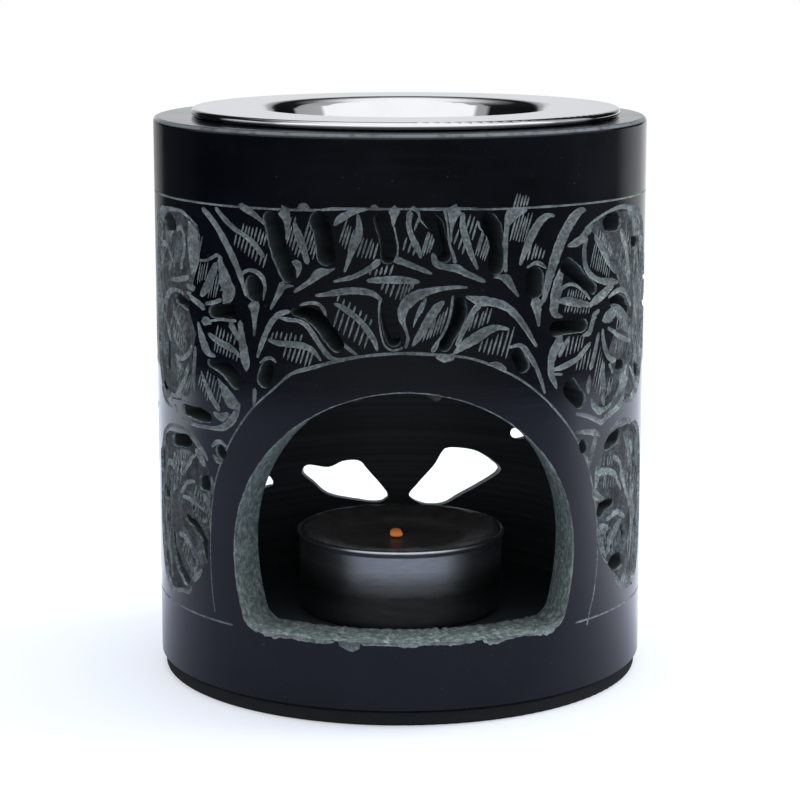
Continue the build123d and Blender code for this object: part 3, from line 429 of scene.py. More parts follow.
# Chips along the sill of the mouth
sill_chips = [
    [(-27, 15.4, 0.7), (-24.5, 15.0, 1.2), (-22, 15.1, 0.8), (-18.5, 14.9, 0.6), (-15, 14.9, 0.9),
     (-12.5, 15.0, 0.5)],
    [(-11.2, 14.9, 1.1), (-10.2, 14.4, 1.3), (-9.2, 14.2, 1.7), (-8.4, 14.6, 1.4)],
    [(-7.4, 15.0, 0.8), (-3, 14.9, 0.5), (0.5, 14.9, 1.0), (3.5, 15.0, 0.6), (8, 14.9, 0.8), (12, 15.0, 0.6)],
    [(14, 14.9, 0.7), (15.6, 14.7, 1.3), (17.4, 14.8, 0.9), (21, 15.1, 0.6), (24.4, 15.0, 1.1),
     (27.4, 15.2, 1.5), (28.6, 15.8, 0.7)],
]

# Hatching: rows of short slanted cuts, as the foot of the first and of the last cut, how many
# there are and how long the first and the last are
crown_hatching = [
    (-29.8, 85.2, -25.2, 83.1, 8, 1.3, 2.2), (-31.6, 82.9, -25.4, 79.4, 9, 1.9, 2.0),
    (-20.7, 83.6, -18.6, 81.6, 5, 3.0, 2.4), (-20.3, 86.6, -19.4, 86.9, 2, 1.5, 1.3),
    (-17.4, 84.4, -15.9, 81.3, 5, 2.6, 3.4), (-11.2, 84.3, -9.7, 83.0, 4, 3.2, 3.6),
    (-8.1, 82.0, -5.4, 81.7, 5, 3.2, 2.3), (-6.0, 78.9, -2.7, 79.0, 5, 0.9, 1.5),
    (-4.1, 76.4, -1.8, 74.9, 4, 1.1, 2.6), (-1.0, 74.9, 1.1, 76.6, 4, 2.5, 0.8),
    (-23.9, 67.2, -18.4, 67.2, 7, 1.1, 1.0), (-21.5, 64.1, -16.7, 62.9, 7, 1.9, 2.9),
    (-12.3, 69.9, -7.0, 66.4, 7, 3.0, 2.4), (-11.6, 74.2, -6.0, 70.5, 7, 1.2, 0.9),
    (-0.4, 83.2, 1.2, 82.3, 3, 1.8, 1.5), (2.5, 81.9, 4.0, 82.6, 4, 4.0, 2.6),
    (1.5, 86.6, 2.0, 87.4, 2, 1.8, 1.2), (8.2, 84.0, 9.6, 82.5, 3, 2.4, 1.7),
    (10.4, 86.8, 11.3, 84.8, 3, 2.2, 2.6), (11.9, 82.3, 13.5, 81.0, 5, 3.8, 3.0),
    (1.3, 70.2, 2.7, 72.6, 4, 3.4, 2.4), (2.9, 67.7, 5.9, 69.2, 6, 2.6, 4.0),
    (10.8, 69.3, 14.0, 70.3, 5, 2.4, 2.4), (12.6, 65.6, 17.5, 64.4, 7, 1.5, 4.4),
    (18.2, 84.3, 20.9, 84.0, 6, 3.6, 4.2), (18.7, 89.7, 21.3, 89.9, 5, 2.2, 1.4),
    (21.6, 80.8, 24.6, 80.9, 5, 2.4, 1.3),
]
left_upper_hatching = [
    (-41.5, 75.3, -39.4, 76.0, 4, 3.2, 2.8), (-38.4, 73.0, -36.4, 73.4, 4, 4.0, 3.2),
    (-36.4, 66.4, -32.0, 65.5, 6, 1.8, 1.3), (-37.0, 63.9, -31.5, 62.7, 8, 1.6, 1.2),
    (-39.2, 58.4, -35.9, 54.4, 6, 1.6, 3.0), (-41.6, 57.3, -39.2, 54.8, 5, 1.8, 1.6),
    (-47.0, 55.0, -44.2, 56.3, 5, 3.0, 2.2), (-50.6, 77.4, -48.4, 78.2, 5, 4.0, 4.2),
    (-50.6, 63.4, -46.6, 62.6, 6, 2.4, 1.6), (-50.0, 68.6, -46.8, 66.0, 5, 1.8, 1.6),
    (-56.6, 77.0, -51.2, 76.0, 8, 4.6, 4.2), (-53.2, 65.6, -47.0, 63.4, 8, 4.2, 3.4),
    (-59.4, 64.0, -57.0, 63.8, 4, 8.0, 8.0), (-50.2, 54.8, -47.2, 55.0, 5, 3.6, 3.6),
    (-43.6, 78.6, -41.4, 78.8, 4, 4.6, 4.6),
]
right_upper_hatching = [
    (38.2, 83.4, 42.6, 79.4, 9, 1.5, 1.4), (36.0, 78.4, 41.4, 76.0, 10, 3.6, 1.2),
    (30.2, 73.8, 34.6, 73.0, 8, 1.2, 1.2), (29.6, 71.2, 35.6, 70.2, 9, 1.1, 1.0),
    (30.0, 63.3, 33.9, 64.4, 5, 2.8, 2.0), (32.6, 60.8, 35.2, 60.6, 4, 1.4, 3.0),
    (37.1, 57.4, 39.0, 55.2, 4, 6.0, 4.8), (41.8, 54.6, 43.2, 55.4, 3, 3.2, 2.2),
    (44.6, 66.6, 50.6, 65.0, 7, 1.8, 2.0), (45.0, 62.2, 50.0, 61.6, 6, 2.2, 1.6),
    (45.6, 77.6, 49.0, 75.6, 5, 3.0, 2.0), (48.0, 83.0, 51.4, 79.2, 5, 1.8, 2.2),
    (53.0, 73.4, 60.2, 73.0, 9, 5.0, 5.6), (53.2, 60.4, 60.4, 60.0, 9, 7.0, 6.4),
    (53.8, 82.0, 59.6, 81.4, 7, 2.8, 2.2), (46.4, 56.4, 51.2, 60.6, 6, 1.6, 1.6),
]
left_lower_hatching = [
    (-44.0, 36.6, -41.2, 36.2, 4, 1.8, 1.4), (-44.6, 32.9, -40.2, 32.4, 6, 2.0, 2.4),
    (-45.0, 23.6, -42.8, 24.8, 4, 3.2, 2.2), (-49.4, 24.6, -46.0, 23.2, 5, 3.0, 3.0),
    (-55.0, 36.8, -49.6, 38.2, 8, 4.4, 3.6), (-52.6, 41.6, -45.4, 42.6, 9, 1.8, 1.6),
    (-48.4, 24.2, -44.8, 23.4, 6, 3.8, 3.6), (-59.2, 26.0, -56.4, 25.6, 4, 9.0, 9.0),
    (-44.6, 33.4, -40.6, 33.0, 6, 2.4, 2.4),
]
right_lower_hatching = [
    (41.2, 38.2, 44.6, 37.8, 5, 2.0, 1.8), (42.2, 27.8, 43.4, 29.0, 3, 2.2, 1.6),
    (41.4, 42.4, 44.2, 42.0, 4, 1.6, 1.2), (45.8, 26.6, 48.6, 27.0, 4, 2.0, 1.6),
    (50.2, 35.4, 57.4, 35.0, 9, 7.6, 8.4), (52.4, 20.8, 58.2, 20.6, 8, 6.4, 7.2),
    (41.4, 28.6, 44.4, 26.6, 4, 1.8, 1.6),
]

# Vents pierced through the wall, in the same form as the strokes
crown_vents = [
    [(-23.9, 87.7, 3.0), (-22.9, 85.3, 3.4), (-22.2, 82.5, 3.4), (-21.2, 79.8, 3.0), (-20.6, 78.2, 2.6)],
    [(-14.6, 87.7, 3.9), (-14.1, 86, 3.6), (-13.7, 84, 3.5), (-13.5, 82.0, 3.4)],
    [(-4.2, 88.3, 2.4), (-3.5, 86.3, 2.6), (-3, 84, 2.5), (-3, 82.0, 2.5)],
    [(-3.1, 73.7, 2.4), (-2.9, 71.5, 2.5), (-2.4, 69.6, 2.8), (-2.0, 68.0, 2.6)],
    [(4.2, 88.2, 2.6), (5.2, 87, 2.5), (5.9, 85, 2.2), (6.3, 83.3, 2.3), (6.5, 82.1, 2.4)],
    [(14.3, 87.5, 3.4), (15.4, 85.6, 3.1), (15.7, 83.4, 2.7), (15.7, 81.2, 2.9), (15.6, 80, 2.8)],
    [(-27.4, 76.2, 3.6), (-27.3, 75, 3.4)],
    [(23.1, 77.7, 3.8), (23.2, 75.8, 3.5)],
    [(-19.3, 72.2, 1.4), (-17.2, 72.1, 2.4), (-15.1, 71.1, 2.9), (-13.3, 69, 2.9), (-11.7, 66.9, 2.6)],
    [(9.2, 74, 2.2), (9.3, 72.3, 2.4), (8.6, 70.3, 2.2), (7.5, 68.4, 2.1), (6.6, 66.9, 2.0)],
    [(-24.8, 61.9, 2.9), (-25.4, 60.1, 3.1)],
    [(19.9, 64.5, 2.6), (20.9, 62.7, 2.6)],
]
left_upper_vents = [
    [(-37.3, 70.7, 2.1), (-35, 70.9, 2.3), (-32.6, 71.4, 2.4)],
    [(-38.2, 61.6, 1.4), (-36, 61.2, 1.8), (-33.4, 60.5, 3.0), (-31.6, 59.0, 3.0)],
    [(-46.7, 52.1, 2.0), (-43.5, 51.9, 2.5), (-40.5, 51.9, 2.5), (-38.7, 51.7, 1.8)],
    [(-55.2, 84.6, 3.2), (-52.6, 84.9, 3.3), (-50.6, 84.6, 2.4)],
    [(-49.9, 71.4, 1.7), (-47.5, 71.4, 2.0), (-45.5, 70.7, 1.8)],
    [(-55.4, 58.6, 2.9), (-55, 62.2, 2.9)],
]
right_upper_vents = [
    [(30.2, 79.1, 3.2), (32, 78.0, 3.0), (34.2, 76.2, 2.6), (36.8, 74.6, 2.2)],
    [(27.7, 68.5, 2.9), (30, 68.5, 2.5), (34.3, 68.4, 2.4)],
    [(31.3, 57.7, 3.6), (32.3, 56.6, 3.6), (33.6, 55.4, 3.2)],
    [(41.4, 85.6, 3.4), (43.5, 85.7, 3.6), (45.2, 85.5, 3.2)],
    [(42.7, 71.5, 1.6), (45, 71.8, 1.8), (47.4, 71.1, 1.9), (50.6, 69.1, 1.7)],
    [(45.8, 59.8, 2.1), (48.3, 59.6, 2.0)],
    [(52.5, 80.9, 2.2), (56.4, 80.8, 2.2)],
    [(55.5, 57.9, 2.2), (58.4, 56.8, 2.2)],
]
left_lower_vents = [
    [(-52.5, 45.5, 2.2), (-50, 45.9, 2.5), (-47, 46.3, 2.5), (-45.5, 46.6, 2.0)],
    [(-41, 39.6, 2.6), (-39.9, 39.7, 2.9)],
    [(-47.4, 32.3, 1.5), (-44.5, 31.6, 2.0), (-42, 30.2, 2.4), (-40.7, 28.0, 2.3), (-40.5, 26, 1.7)],
    [(-53.8, 27.8, 2.2), (-52.5, 24.9, 2.6), (-50.2, 22.2, 2.6), (-47.4, 20.6, 2.3)],
    [(-60.6, 41.4, 2.3), (-60.5, 38.5, 2.4)],
    [(-59.1, 34.8, 2.7), (-57.1, 34.7, 2.8)],
]
right_lower_vents = [
    [(41.9, 45.9, 2.2), (43.6, 46.5, 2.9), (46.6, 47.1, 2.9)],
    [(40.3, 34.4, 3.0), (42.2, 34.9, 2.2), (44.9, 35.1, 1.5)],
    [(45.2, 23.8, 3.1), (48.4, 23.6, 3.2)],
    [(49.1, 29.6, 1.7), (50, 27.7, 1.7)],
    [(55.9, 43.1, 2.1), (56, 38.6, 2.1)],
    [(57.6, 28.9, 2.1), (59.9, 26.4, 2.1)],
]
corner_vents = [
    [(34.7, 47.2, 2.3), (35, 46.5, 2.3)],
    [(-35.8, 46.2, 2.3), (-35.3, 45.8, 2.3)],
]
back_vents = [
    [(141.8, 87.1, 3), (140.9, 82.3, 3)],
    [(135.1, 59.9, 3), (132.7, 64.4, 3)],
    [(147.7, 59.9, 3), (150, 64.4, 3)],
    [(131.9, 43.5, 2.6), (136.7, 47.2, 2.6)],
    [(150.8, 43.5, 2.6), (146.1, 47.2, 2.6)],
]

# Strokes and hatching at the middle of the back. Those on its two sides are given once, by their
# distance from the middle.
back_strokes = [
    [(137.6, 88, 0.5), (138.6, 80, 1.2), (138.4, 70, 1.1), (136.4, 60, 0.9), (135, 54, 0.5)],
    [(145.2, 88, 0.5), (144.2, 80, 1.2), (144.4, 70, 1.1), (146.4, 60, 0.9), (147.8, 54, 0.5)],
    [(132.4, 85.5, 0.5), (133.6, 80, 1.2), (134.6, 75, 1.2), (136, 70, 0.6)],
    [(150.4, 85.5, 0.5), (149.2, 80, 1.2), (148.2, 75, 1.2), (146.8, 70, 0.6)],
    [(141.4, 56, 0.6), (141.3, 50, 1.3), (141.6, 44, 1.1), (141.4, 38, 0.5)],
    [(141.4, 36.8, 0.5), (141.1, 33, 1.2), (141.5, 28.6, 1.2), (141.2, 24.4, 0.5)],
    [(141.2, 75.4, 0.5), (141.5, 71.4, 2.0), (141.3, 67.2, 1.8), (141.4, 63.4, 0.5)],
]
back_middle = around / 2
back_side_strokes = [
    [(3.2, 86.5, 0.4), (5.2, 84, 1.3), (6.2, 80.8, 1.2), (5.6, 77.6, 0.5)],
    [(3.4, 60.5, 0.4), (5.6, 63.4, 1.3), (6.8, 67, 1.2), (6.6, 70, 0.5)],
    [(9.6, 53.4, 0.4), (12.4, 55.4, 1.4), (15.8, 55.2, 1.2), (18.4, 53, 0.5)],
    [(5.6, 39.6, 0.4), (3.2, 42.6, 1.2), (2.4, 46.6, 0.5)],
    [(13.6, 41, 0.4), (17, 43.2, 1.5), (20.4, 42.4, 1.2), (22.6, 39.8, 0.5)],
    [(18.6, 49.8, 0.5), (22.2, 48.8, 1.5), (24.6, 45.8, 1.2), (25, 42.2, 0.5)],
    [(30.4, 20.6, 0.5), (32.8, 25, 1.5), (33.6, 30, 1.3), (32.6, 34.6, 0.5)],
    [(28.6, 39.2, 0.5), (31.6, 41.8, 1.4), (32.6, 45.8, 1.2), (31, 49.2, 0.5)],
    [(1.6, 31.6, 0.6), (4, 34.6, 1.1), (10, 37.2, 1.2), (17, 38.4, 1.2), (23.4, 37, 1.2), (26.6, 32, 1.2),
     (26.8, 26, 1.2), (24.4, 20.6, 1.2), (18, 17.7, 1.1), (10, 17.1, 1.0), (2.4, 17.9, 0.6)],
    [(24.9, 30.8, 0.4), (23.8, 26.4, 1.0), (20.6, 22.4, 0.9), (16.4, 19.6, 0.4)],
    [(24.4, 34.6, 0.4), (20.6, 36.2, 0.9), (15.4, 36, 0.8), (10.6, 34.2, 0.4)],
    [(26.4, 51.8, 0.5), (22.6, 52.6, 0.9), (18.6, 51.8, 0.5)],
]
back_hatching = [
    (131.4, 76.0, 134.0, 71.6, 6, 2.0, 2.4), (134.6, 81.4, 136.6, 75.0, 6, 1.8, 2.0),
    (146.6, 74.6, 149.2, 78.2, 6, 2.2, 2.0), (148.4, 70.6, 151.4, 76.6, 6, 2.2, 2.0),
    (137.0, 52.6, 140.4, 48.0, 6, 2.4, 2.6), (142.4, 48.2, 145.6, 51.8, 6, 2.6, 2.2),
]
back_side_hatching = [(4.2, 31.2, 9.6, 34.6, 6, 2.2, 2.6), (17.6, 19.0, 22.6, 22.0, 6, 2.0, 2.4)]
for side_sign in (-1, 1):
    back_strokes += [
        [(back_middle + side_sign * away, z, width) for away, z, width in stroke]
        for stroke in back_side_strokes
    ]
    back_hatching += [
        (back_middle + side_sign * start, z_start, back_middle + side_sign * end, z_end, *rest)
        for start, z_start, end, z_end, *rest in back_side_hatching
    ]

# The sunk ground of the leaf that holds both back windows
ground_half = [(4, 34), (10, 36.6), (17, 37.8), (23, 36.6), (26, 32), (26.2, 26), (24, 21), (18, 18.2),
               (10, 17.5), (3, 18.2)]
back_ground = [(back_middle + away, z) for away, z in ground_half]
back_ground += [(back_middle - away, z) for away, z in reversed(ground_half)]

# The two leaves pierced through the back, on the bore as seen from the front: (x, z)
left_petal = [
    (-1.8, 23.2), (-2.2, 21.9), (-3.8, 21.3), (-7.6, 21.8), (-13.7, 23.5), (-16.8, 26.3),
    (-19.0, 28.6), (-17.9, 30.1), (-13.7, 29.2), (-10.8, 30.2), (-7.6, 30.1), (-5.8, 28.2),
]
right_petal = [
    (2.6, 22.6), (5.6, 20.9), (9.6, 21.1), (12.8, 23.1), (17.3, 26.1), (20.5, 28.7), (20.6, 30.0),
    (18.4, 31.6), (15.3, 32.8), (10.6, 32.9), (9.2, 31.9), (7.6, 29.1), (4.4, 25.3),
]
left_chink = [
    (-24.7, 27.2), (-26.6, 26.9), (-28.8, 26.8), (-29.4, 28.2), (-28.6, 29.6), (-26.6, 29.8), (-25.1, 28.8),
]
right_chink = [
    (24.9, 36.3), (23.4, 36.1), (22.6, 36.8), (22.8, 37.9), (24, 38.5), (25.8, 38.4), (26.2, 37.2),
]
back_windows = (left_petal, right_petal, left_chink, right_chink)

# Scribed lines: the border of the arch and the two rings
border_line = [
    (-37.7, 16.8, 0.2), (-38.3, 20, 0.22), (-38.7, 25, 0.22), (-38.7, 30, 0.22), (-38.3, 35, 0.25),
    (-37.3, 40, 0.3), (-35.2, 44.8, 0.35), (-32, 49.9, 0.35), (-27.9, 54.8, 0.35), (-23.5, 58.6, 0.35),
    (-20, 61.5, 0.5), (-16.5, 62.7, 0.75), (-13.6, 63.6, 0.6), (-11, 64.4, 0.6), (-8, 65.0, 0.5),
    (-4, 65.5, 0.5), (0, 65.7, 0.55), (4, 65.5, 0.5), (8, 65.1, 0.45), (11, 64.6, 0.4), (14, 63.6, 0.4),
    (17, 62.2, 0.4), (20.6, 60.2, 0.35), (24, 57.7, 0.35), (27.1, 55, 0.35), (31.8, 50, 0.4),
    (35.3, 45, 0.4), (37.3, 40, 0.4), (38.6, 35, 0.4), (39.2, 30, 0.35), (39.2, 25, 0.35),
    (38.4, 20, 0.35), (37.3, 17, 0.35), (36.5, 14.4, 0.4),
]
upper_ring = [
    (-141, 89.3, 0.35), (-100, 89.3, 0.35), (-60, 89.3, 0.35), (-30, 89.4, 0.35), (-16, 89.6, 0.4),
    (-12, 89.95, 0.5), (-5, 90.05, 0.4), (0, 90.05, 0.35), (6, 90.0, 0.5), (11, 89.95, 0.45),
    (14.5, 89.75, 0.35), (30, 89.6, 0.35), (60, 89.3, 0.35), (100, 89.3, 0.35), (140.5, 89.3, 0.35),
]
lower_ring_height = 15.3
lower_ring_width = 0.35
lower_ring_ends = (33.4, 249.5)


def smooth_line(points, step):
    """Points of (u, z, width) on a smooth curve through the given ones, about a step apart."""
    known = np.array(points, float)
    padded = np.vstack([2 * known[0] - known[1], known, 2 * known[-1] - known[-2]])
    line = []
    for a, b, c, d in zip(padded, padded[1:], padded[2:], padded[3:]):
        pieces = max(2, round(np.hypot(*(c - b)[:2]) / step))
        for t in np.arange(pieces) / pieces:
            line.append(0.5 * (2 * b + (c - a) * t + (2 * a - 5 * b + 4 * c - d) * t ** 2
                               + (3 * b - a - 3 * c + d) * t ** 3))
    line.append(known[-1])
    line = np.array(line)
    line[:, 2] = np.maximum(line[:, 2], thinnest)
    return line


def hand_cut(line, share):
    """The same line with its width a little uneven, as a hand cuts it."""
    rough = line.copy()
    for point in rough:
        point[2] *= 1 + share * noise.noise(Vector((point[0] * 1.3, point[1] * 1.3, 4.0))) * 3
    return rough


def drawn(lines, step, share):
    """The given lines made smooth and cut by hand."""
    return [hand_cut(smooth_line(line, step), share) for line in lines]


def ribbon_outline(line, rounded):
    """The closed outline of a stroke, pointed or round at its ends."""
    along = np.gradient(line[:, :2], axis=0)
    along /= np.linalg.norm(along, axis=1)[:, None]
    across = np.stack([-along[:, 1], along[:, 0]], axis=1)
    half = line[:, 2:3] / 2
    left = line[:, :2] + across * half
    right = line[:, :2] - across * half
    if rounded:
        turns = np.radians([60, 30, 0, -30, -60])[:, None]
        last = line[-1, :2] + half[-1] * (np.cos(turns) * along[-1] + np.sin(turns) * across[-1])
        first = line[0, :2] - half[0] * (np.cos(turns) * along[0] + np.sin(turns) * across[0])
    else:
        last = line[-1:, :2] + along[-1] * half[-1]
        first = line[:1, :2] - along[0] * half[0]
    return np.vstack([left, last, right[::-1], first])


def tick(foot, length, lean):
    """One short cut of the hatching, a thin lens of (u, z, width)."""
    height = length / math.hypot(1, lean)
    shares = ((0, 0.35), (0.3, 1), (0.75, 0.9), (1, 0.3))
    return np.array([
        (foot[0] + lean * height * share, foot[1] + height * share, tick_width * fatness)
        for share, fatness in shares
    ])


def hatching(rows):
    """Every cut of the given rows."""
    ticks = []
    for u0, z0, u1, z1, count, first, last in rows:
        for k in range(count):
            share = k / (count - 1)
            foot = (u0 + (u1 - u0) * share + random.uniform(-0.06, 0.06),
                    z0 + (z1 - z0) * share + random.uniform(-0.15, 0.15))
            length = (first + (last - first) * share) * broadened_share * random.uniform(0.85, 1.05)
            ticks.append(tick(foot, length, hatch_lean + random.uniform(-0.04, 0.04)))
    return ticks


def turned(shapes, steps):
    """Copies of strokes or rows, turned round the stone by whole repeats."""
    shift = steps * repeat_turn
    if shapes and isinstance(shapes[0], list):
        return [[(u + shift, *rest) for u, *rest in shape] for shape in shapes]
    return [(u0 + shift, z0, u1 + shift, z1, *rest) for u0, z0, u1, z1, *rest in shapes]


def broader(strokes):
    """The same strokes, cut a little wider."""
    return [[(u, z, width * broadened_share) for u, z, width in stroke] for stroke in strokes]


def all_round(crown, left_upper, right_upper, left_lower, right_lower, back):
    """The front's shapes, with the side clusters repeated round to the back."""
    shapes = list(crown) + list(back)
    for steps in range(3):
        shapes += turned(right_upper, steps) + turned(left_upper, -steps)
    for steps in range(2):
        shapes += turned(right_lower, steps) + turned(left_lower, -steps)
    return shapes


def mouth_outline(half):
    """The arch's outline for a half width, in order round it, as (x, z)."""
    crown = [
        (half * math.cos(turn), mouth_spring + half * math.sin(turn))
        for turn in np.linspace(0, math.pi, crown_points)
    ]
    legs = [
        (leg_across(half, share), mouth_spring - (mouth_spring - mouth_sill) * share)
        for share in np.linspace(0, 1, leg_points)[1:]
    ]
    foot = legs[-1][0]
    sill = []
    for x in np.linspace(-foot, foot, sill_points)[1:-1]:
        rough = noise.noise(Vector((x * 0.9, 2.0, 0))), noise.noise(Vector((x * 3, 0, 0)))
        sill.append((x, mouth_sill + sill_rough * rough[0] + sill_rough * rough[1]))
    return crown + [(-x, z) for x, z in legs] + sill + legs[::-1]


def leg_across(half, share):
    """Half the width of the arch by the share of the way down its leg, tucked in at the sill."""
    across = half - mouth_tuck * share ** 2
    past_share = max(0, (share - mouth_corner_share) / (1 - mouth_corner_share))
    return across - mouth_corner * past_share ** 2


def tree_of(places):
    """A search tree of places in space."""
    tree = kdtree.KDTree(len(places))
    for index, place in enumerate(places):
        tree.insert(tuple(place), index)
    tree.balance()
    return tree


groove_tag, hole_tag, scoop_tag, tick_tag, ground_tag = 1, 2, 4, 8, 16
polished, cut, side, bore, sunk, leaf = range(6)
flush_group, groove_group, side_group, bore_group, turned_group = range(5)


class Unrolled:
    """A wall of the stone, triangulated flat round the given shapes and rolled up afterwards."""

    def __init__(self, radius, low, high, spacing):
        self.low, self.high, self.spacing = low, high, spacing
        self.around = 2 * math.pi * radius
        self.margin = 6 * spacing
        self.points, self.edges, self.areas = [], [], []

    def spans(self, shape):
        """The shape and its copies a whole turn away, where they fall in the widened plane."""
        reach = self.around / 2 + self.margin
        for shift in (-self.around, 0, self.around):
            moved = shape + (shift, 0)
            if moved[:, 0].min() < reach and moved[:, 0].max() > -reach:
                yield moved

    def add_area(self, outline, tag):
        self.add_line(np.vstack([outline, outline[:1]]))
        self.areas += [(moved, tag) for moved in self.spans(outline)]

    def add_line(self, line):
        for moved in self.spans(line):
            self.add_path(moved)

    def add_path(self, path):
        first = len(self.points)
        self.points.extend(map(tuple, path))
        self.edges += [(first + k, first + k + 1) for k in range(len(path) - 1)]

    def add_border(self):
        """The two straight edges, with as many points as the rims have columns."""
        step = self.around / columns
        reach = math.ceil(self.margin / step) + columns // 2
        for height in (self.low, self.high):
            self.add_path([(k * step, height) for k in range(-reach, reach + 1)])

    def add_grid(self):
        """Points between the shapes, the same at both sides of the plane."""
        tree = tree_of([(*point, 0) for point in self.points])
        across = round(self.around / self.spacing)
        step = self.around / across
        rows = round((self.high - self.low) / (self.spacing * 0.87))
        rise = (self.high - self.low) / rows
        spread = math.ceil(self.margin / step)
        for row in range(1, rows):
            jitter = random.Random(row)
            wobbles = [(jitter.uniform(-0.1, 0.1), jitter.uniform(-0.1, 0.1)) for _ in range(across)]
            for k in range(-across // 2 - spread, across // 2 + spread):
                wobble = wobbles[k % across]
                u = (k + 0.5 * (row % 2) + wobble[0]) * step
                z = self.low + (row + wobble[1]) * rise
                if tree.find((u, z, 0))[2] > self.spacing * 0.35:
                    self.points.append((u, z))

    def triangulate(self):
        """(n, 2) places, (m, 3) triangles and the tags of the areas that each triangle is in."""
        self.add_border()
        self.add_grid()
        result = delaunay_2d_cdt([Vector(p) for p in self.points], self.edges, [], 0, 1e-7, False)
        places = np.array([tuple(v) for v in result[0]])
        triangles = np.array([face for face in result[2] if len(face) == 3])
        middles = places[triangles].mean(axis=1)
        inside = (middles[:, 0] >= -self.around / 2) & (middles[:, 0] < self.around / 2)
        triangles, middles = triangles[inside], middles[inside]
        tags = np.zeros(len(triangles), int)
        for outline, tag in self.areas:
            low, high = outline.min(axis=0), outline.max(axis=0)
            near = np.flatnonzero(((middles > low) & (middles < high)).all(axis=1))
            within = windings(middles[near], outline) != 0
            tags[near[within]] |= tag
        return self.closed(places, triangles, tags)

    def closed(self, places, triangles, tags):
        """Joins the two sides of the plane, a whole turn apart, and drops unused places."""
        used = np.unique(triangles)
        left = [k for k in used if places[k, 0] < -self.around / 2 + self.margin]
        tree = tree_of([(*places[k], 0) for k in left])
        target = np.arange(len(places))
        for k in used:
            if places[k, 0] > self.around / 2 - self.margin:
                _, index, gap = tree.find((places[k, 0] - self.around, places[k, 1], 0))
                if gap < touching:
                    target[k] = left[index]
        triangles = target[triangles]
        used, compact = np.unique(triangles, return_inverse=True)
        return places[used], compact.reshape(triangles.shape), tags


def windings(places, outline):
    """How often a closed outline goes round each place."""
    turns = np.zeros(len(places), int)
    for (u0, z0), (u1, z1) in zip(outline, np.roll(outline, -1, axis=0)):
        leftness = (u1 - u0) * (places[:, 1] - z0) - (places[:, 0] - u0) * (z1 - z0)
        turns += (z0 <= places[:, 1]) & (z1 > places[:, 1]) & (leftness > 0)
        turns -= (z1 <= places[:, 1]) & (z0 > places[:, 1]) & (leftness < 0)
    return turns


def rim_loops(triangles, low_or_high):
    """Closed loops of vertices round the holes of a wall, leaving out its two long edges."""
    ahead = {}
    edges = set()
    for a, b, c in triangles.tolist():
        edges.update(((a, b), (b, c), (c, a)))
    for a, b in edges:
        if (b, a) not in edges and not (low_or_high[a] and low_or_high[b]):
            ahead[a] = b
    loops = []
    while ahead:
        start, step = ahead.popitem()
        loop = [start]
        while step != start:
            loop.append(step)
            step = ahead.pop(step)
        loops.append(loop)
    return loops


def carve_depths(places, strokes, deepest):
    """How deep the given strokes are cut at each place of the wall."""
    depths = np.zeros(len(places))
    for line in strokes:
        turn = np.round((places[:, 0] - line[:, 0].mean()) / around) * around
        u = places[:, 0] - turn
        reach = line[:, 2].max() / 2
        near = np.flatnonzero(
            (u > line[:, 0].min() - reach) & (u < line[:, 0].max() + reach)
            & (places[:, 1] > line[:, 1].min() - reach) & (places[:, 1] < line[:, 1].max() + reach)
        )
        if not len(near):
            continue
        here = np.stack([u[near], places[near, 1]], axis=1)
        best = np.zeros(len(near))
        for start, end in zip(line, line[1:]):
            run = end[:2] - start[:2]
            share = np.clip(((here - start[:2]) @ run) / (run @ run), 0, 1)
            gap = np.linalg.norm(here - start[:2] - share[:, None] * run, axis=1)
            half = (start[2] + (end[2] - start[2]) * share) / 2
            bowl = np.clip(1 - (gap / half) ** 2, 0, 1)
            best = np.maximum(best, bowl * np.minimum(slope_share * half, deepest))
        depths[near] = np.maximum(depths[near], best)
    return depths


def ground_depths(places, grounds):
    """How deep the sunk grounds lie at each place of the wall, uneven as a gouge leaves them."""
    depths = np.zeros(len(places))
    for outline in grounds:
        turn = np.round((places[:, 0] - outline[:, 0].mean()) / around) * around
        here = places - np.stack([turn, 0 * turn], axis=1)
        near = np.flatnonzero(((here > outline.min(axis=0)) & (here < outline.max(axis=0))).all(axis=1))
        inside = near[windings(here[near], outline) != 0]
        rough = [noise.noise(Vector((u * 0.55, z * 0.4, 8.0))) for u, z in places[inside]]
        depths[inside] = ground_depth * (1 + 1.1 * np.array(rough))
    return depths


def rolled(radii, angles, heights):
    """Places in space, in millimetres, from radius, turn from the front and height."""
    return np.stack([radii * np.sin(angles), -radii * np.cos(angles), heights + 0 * angles], axis=1)


class Shell:
    """Vertices and faces gathered piece by piece, with a material and a smoothing group each."""

    def __init__(self):
        self.vertices, self.faces, self.materials, self.groups = [], [], [], []
        self.count = 0

    def add_vertices(self, places):
        first = self.count
        self.vertices.append(places)
        self.count += len(places)
        return np.arange(first, self.count)

    def add_faces(self, faces, material, group):
        self.faces += faces
        self.materials += [material] * len(faces)
        self.groups += [group] * len(faces)

    def add_band(self, upper, lower, material, group):
        """Faces between two closed rings of as many vertices."""
        size = len(upper)
        self.add_faces(
            [(upper[k], lower[k], lower[(k + 1) % size], upper[(k + 1) % size]) for k in range(size)],
            material, group,
        )

    def add_turned(self, rings, material):
        """Faces between each closed ring and the next."""
        for first, second in zip(rings, rings[1:]):
            self.add_band(second, first, material, turned_group)


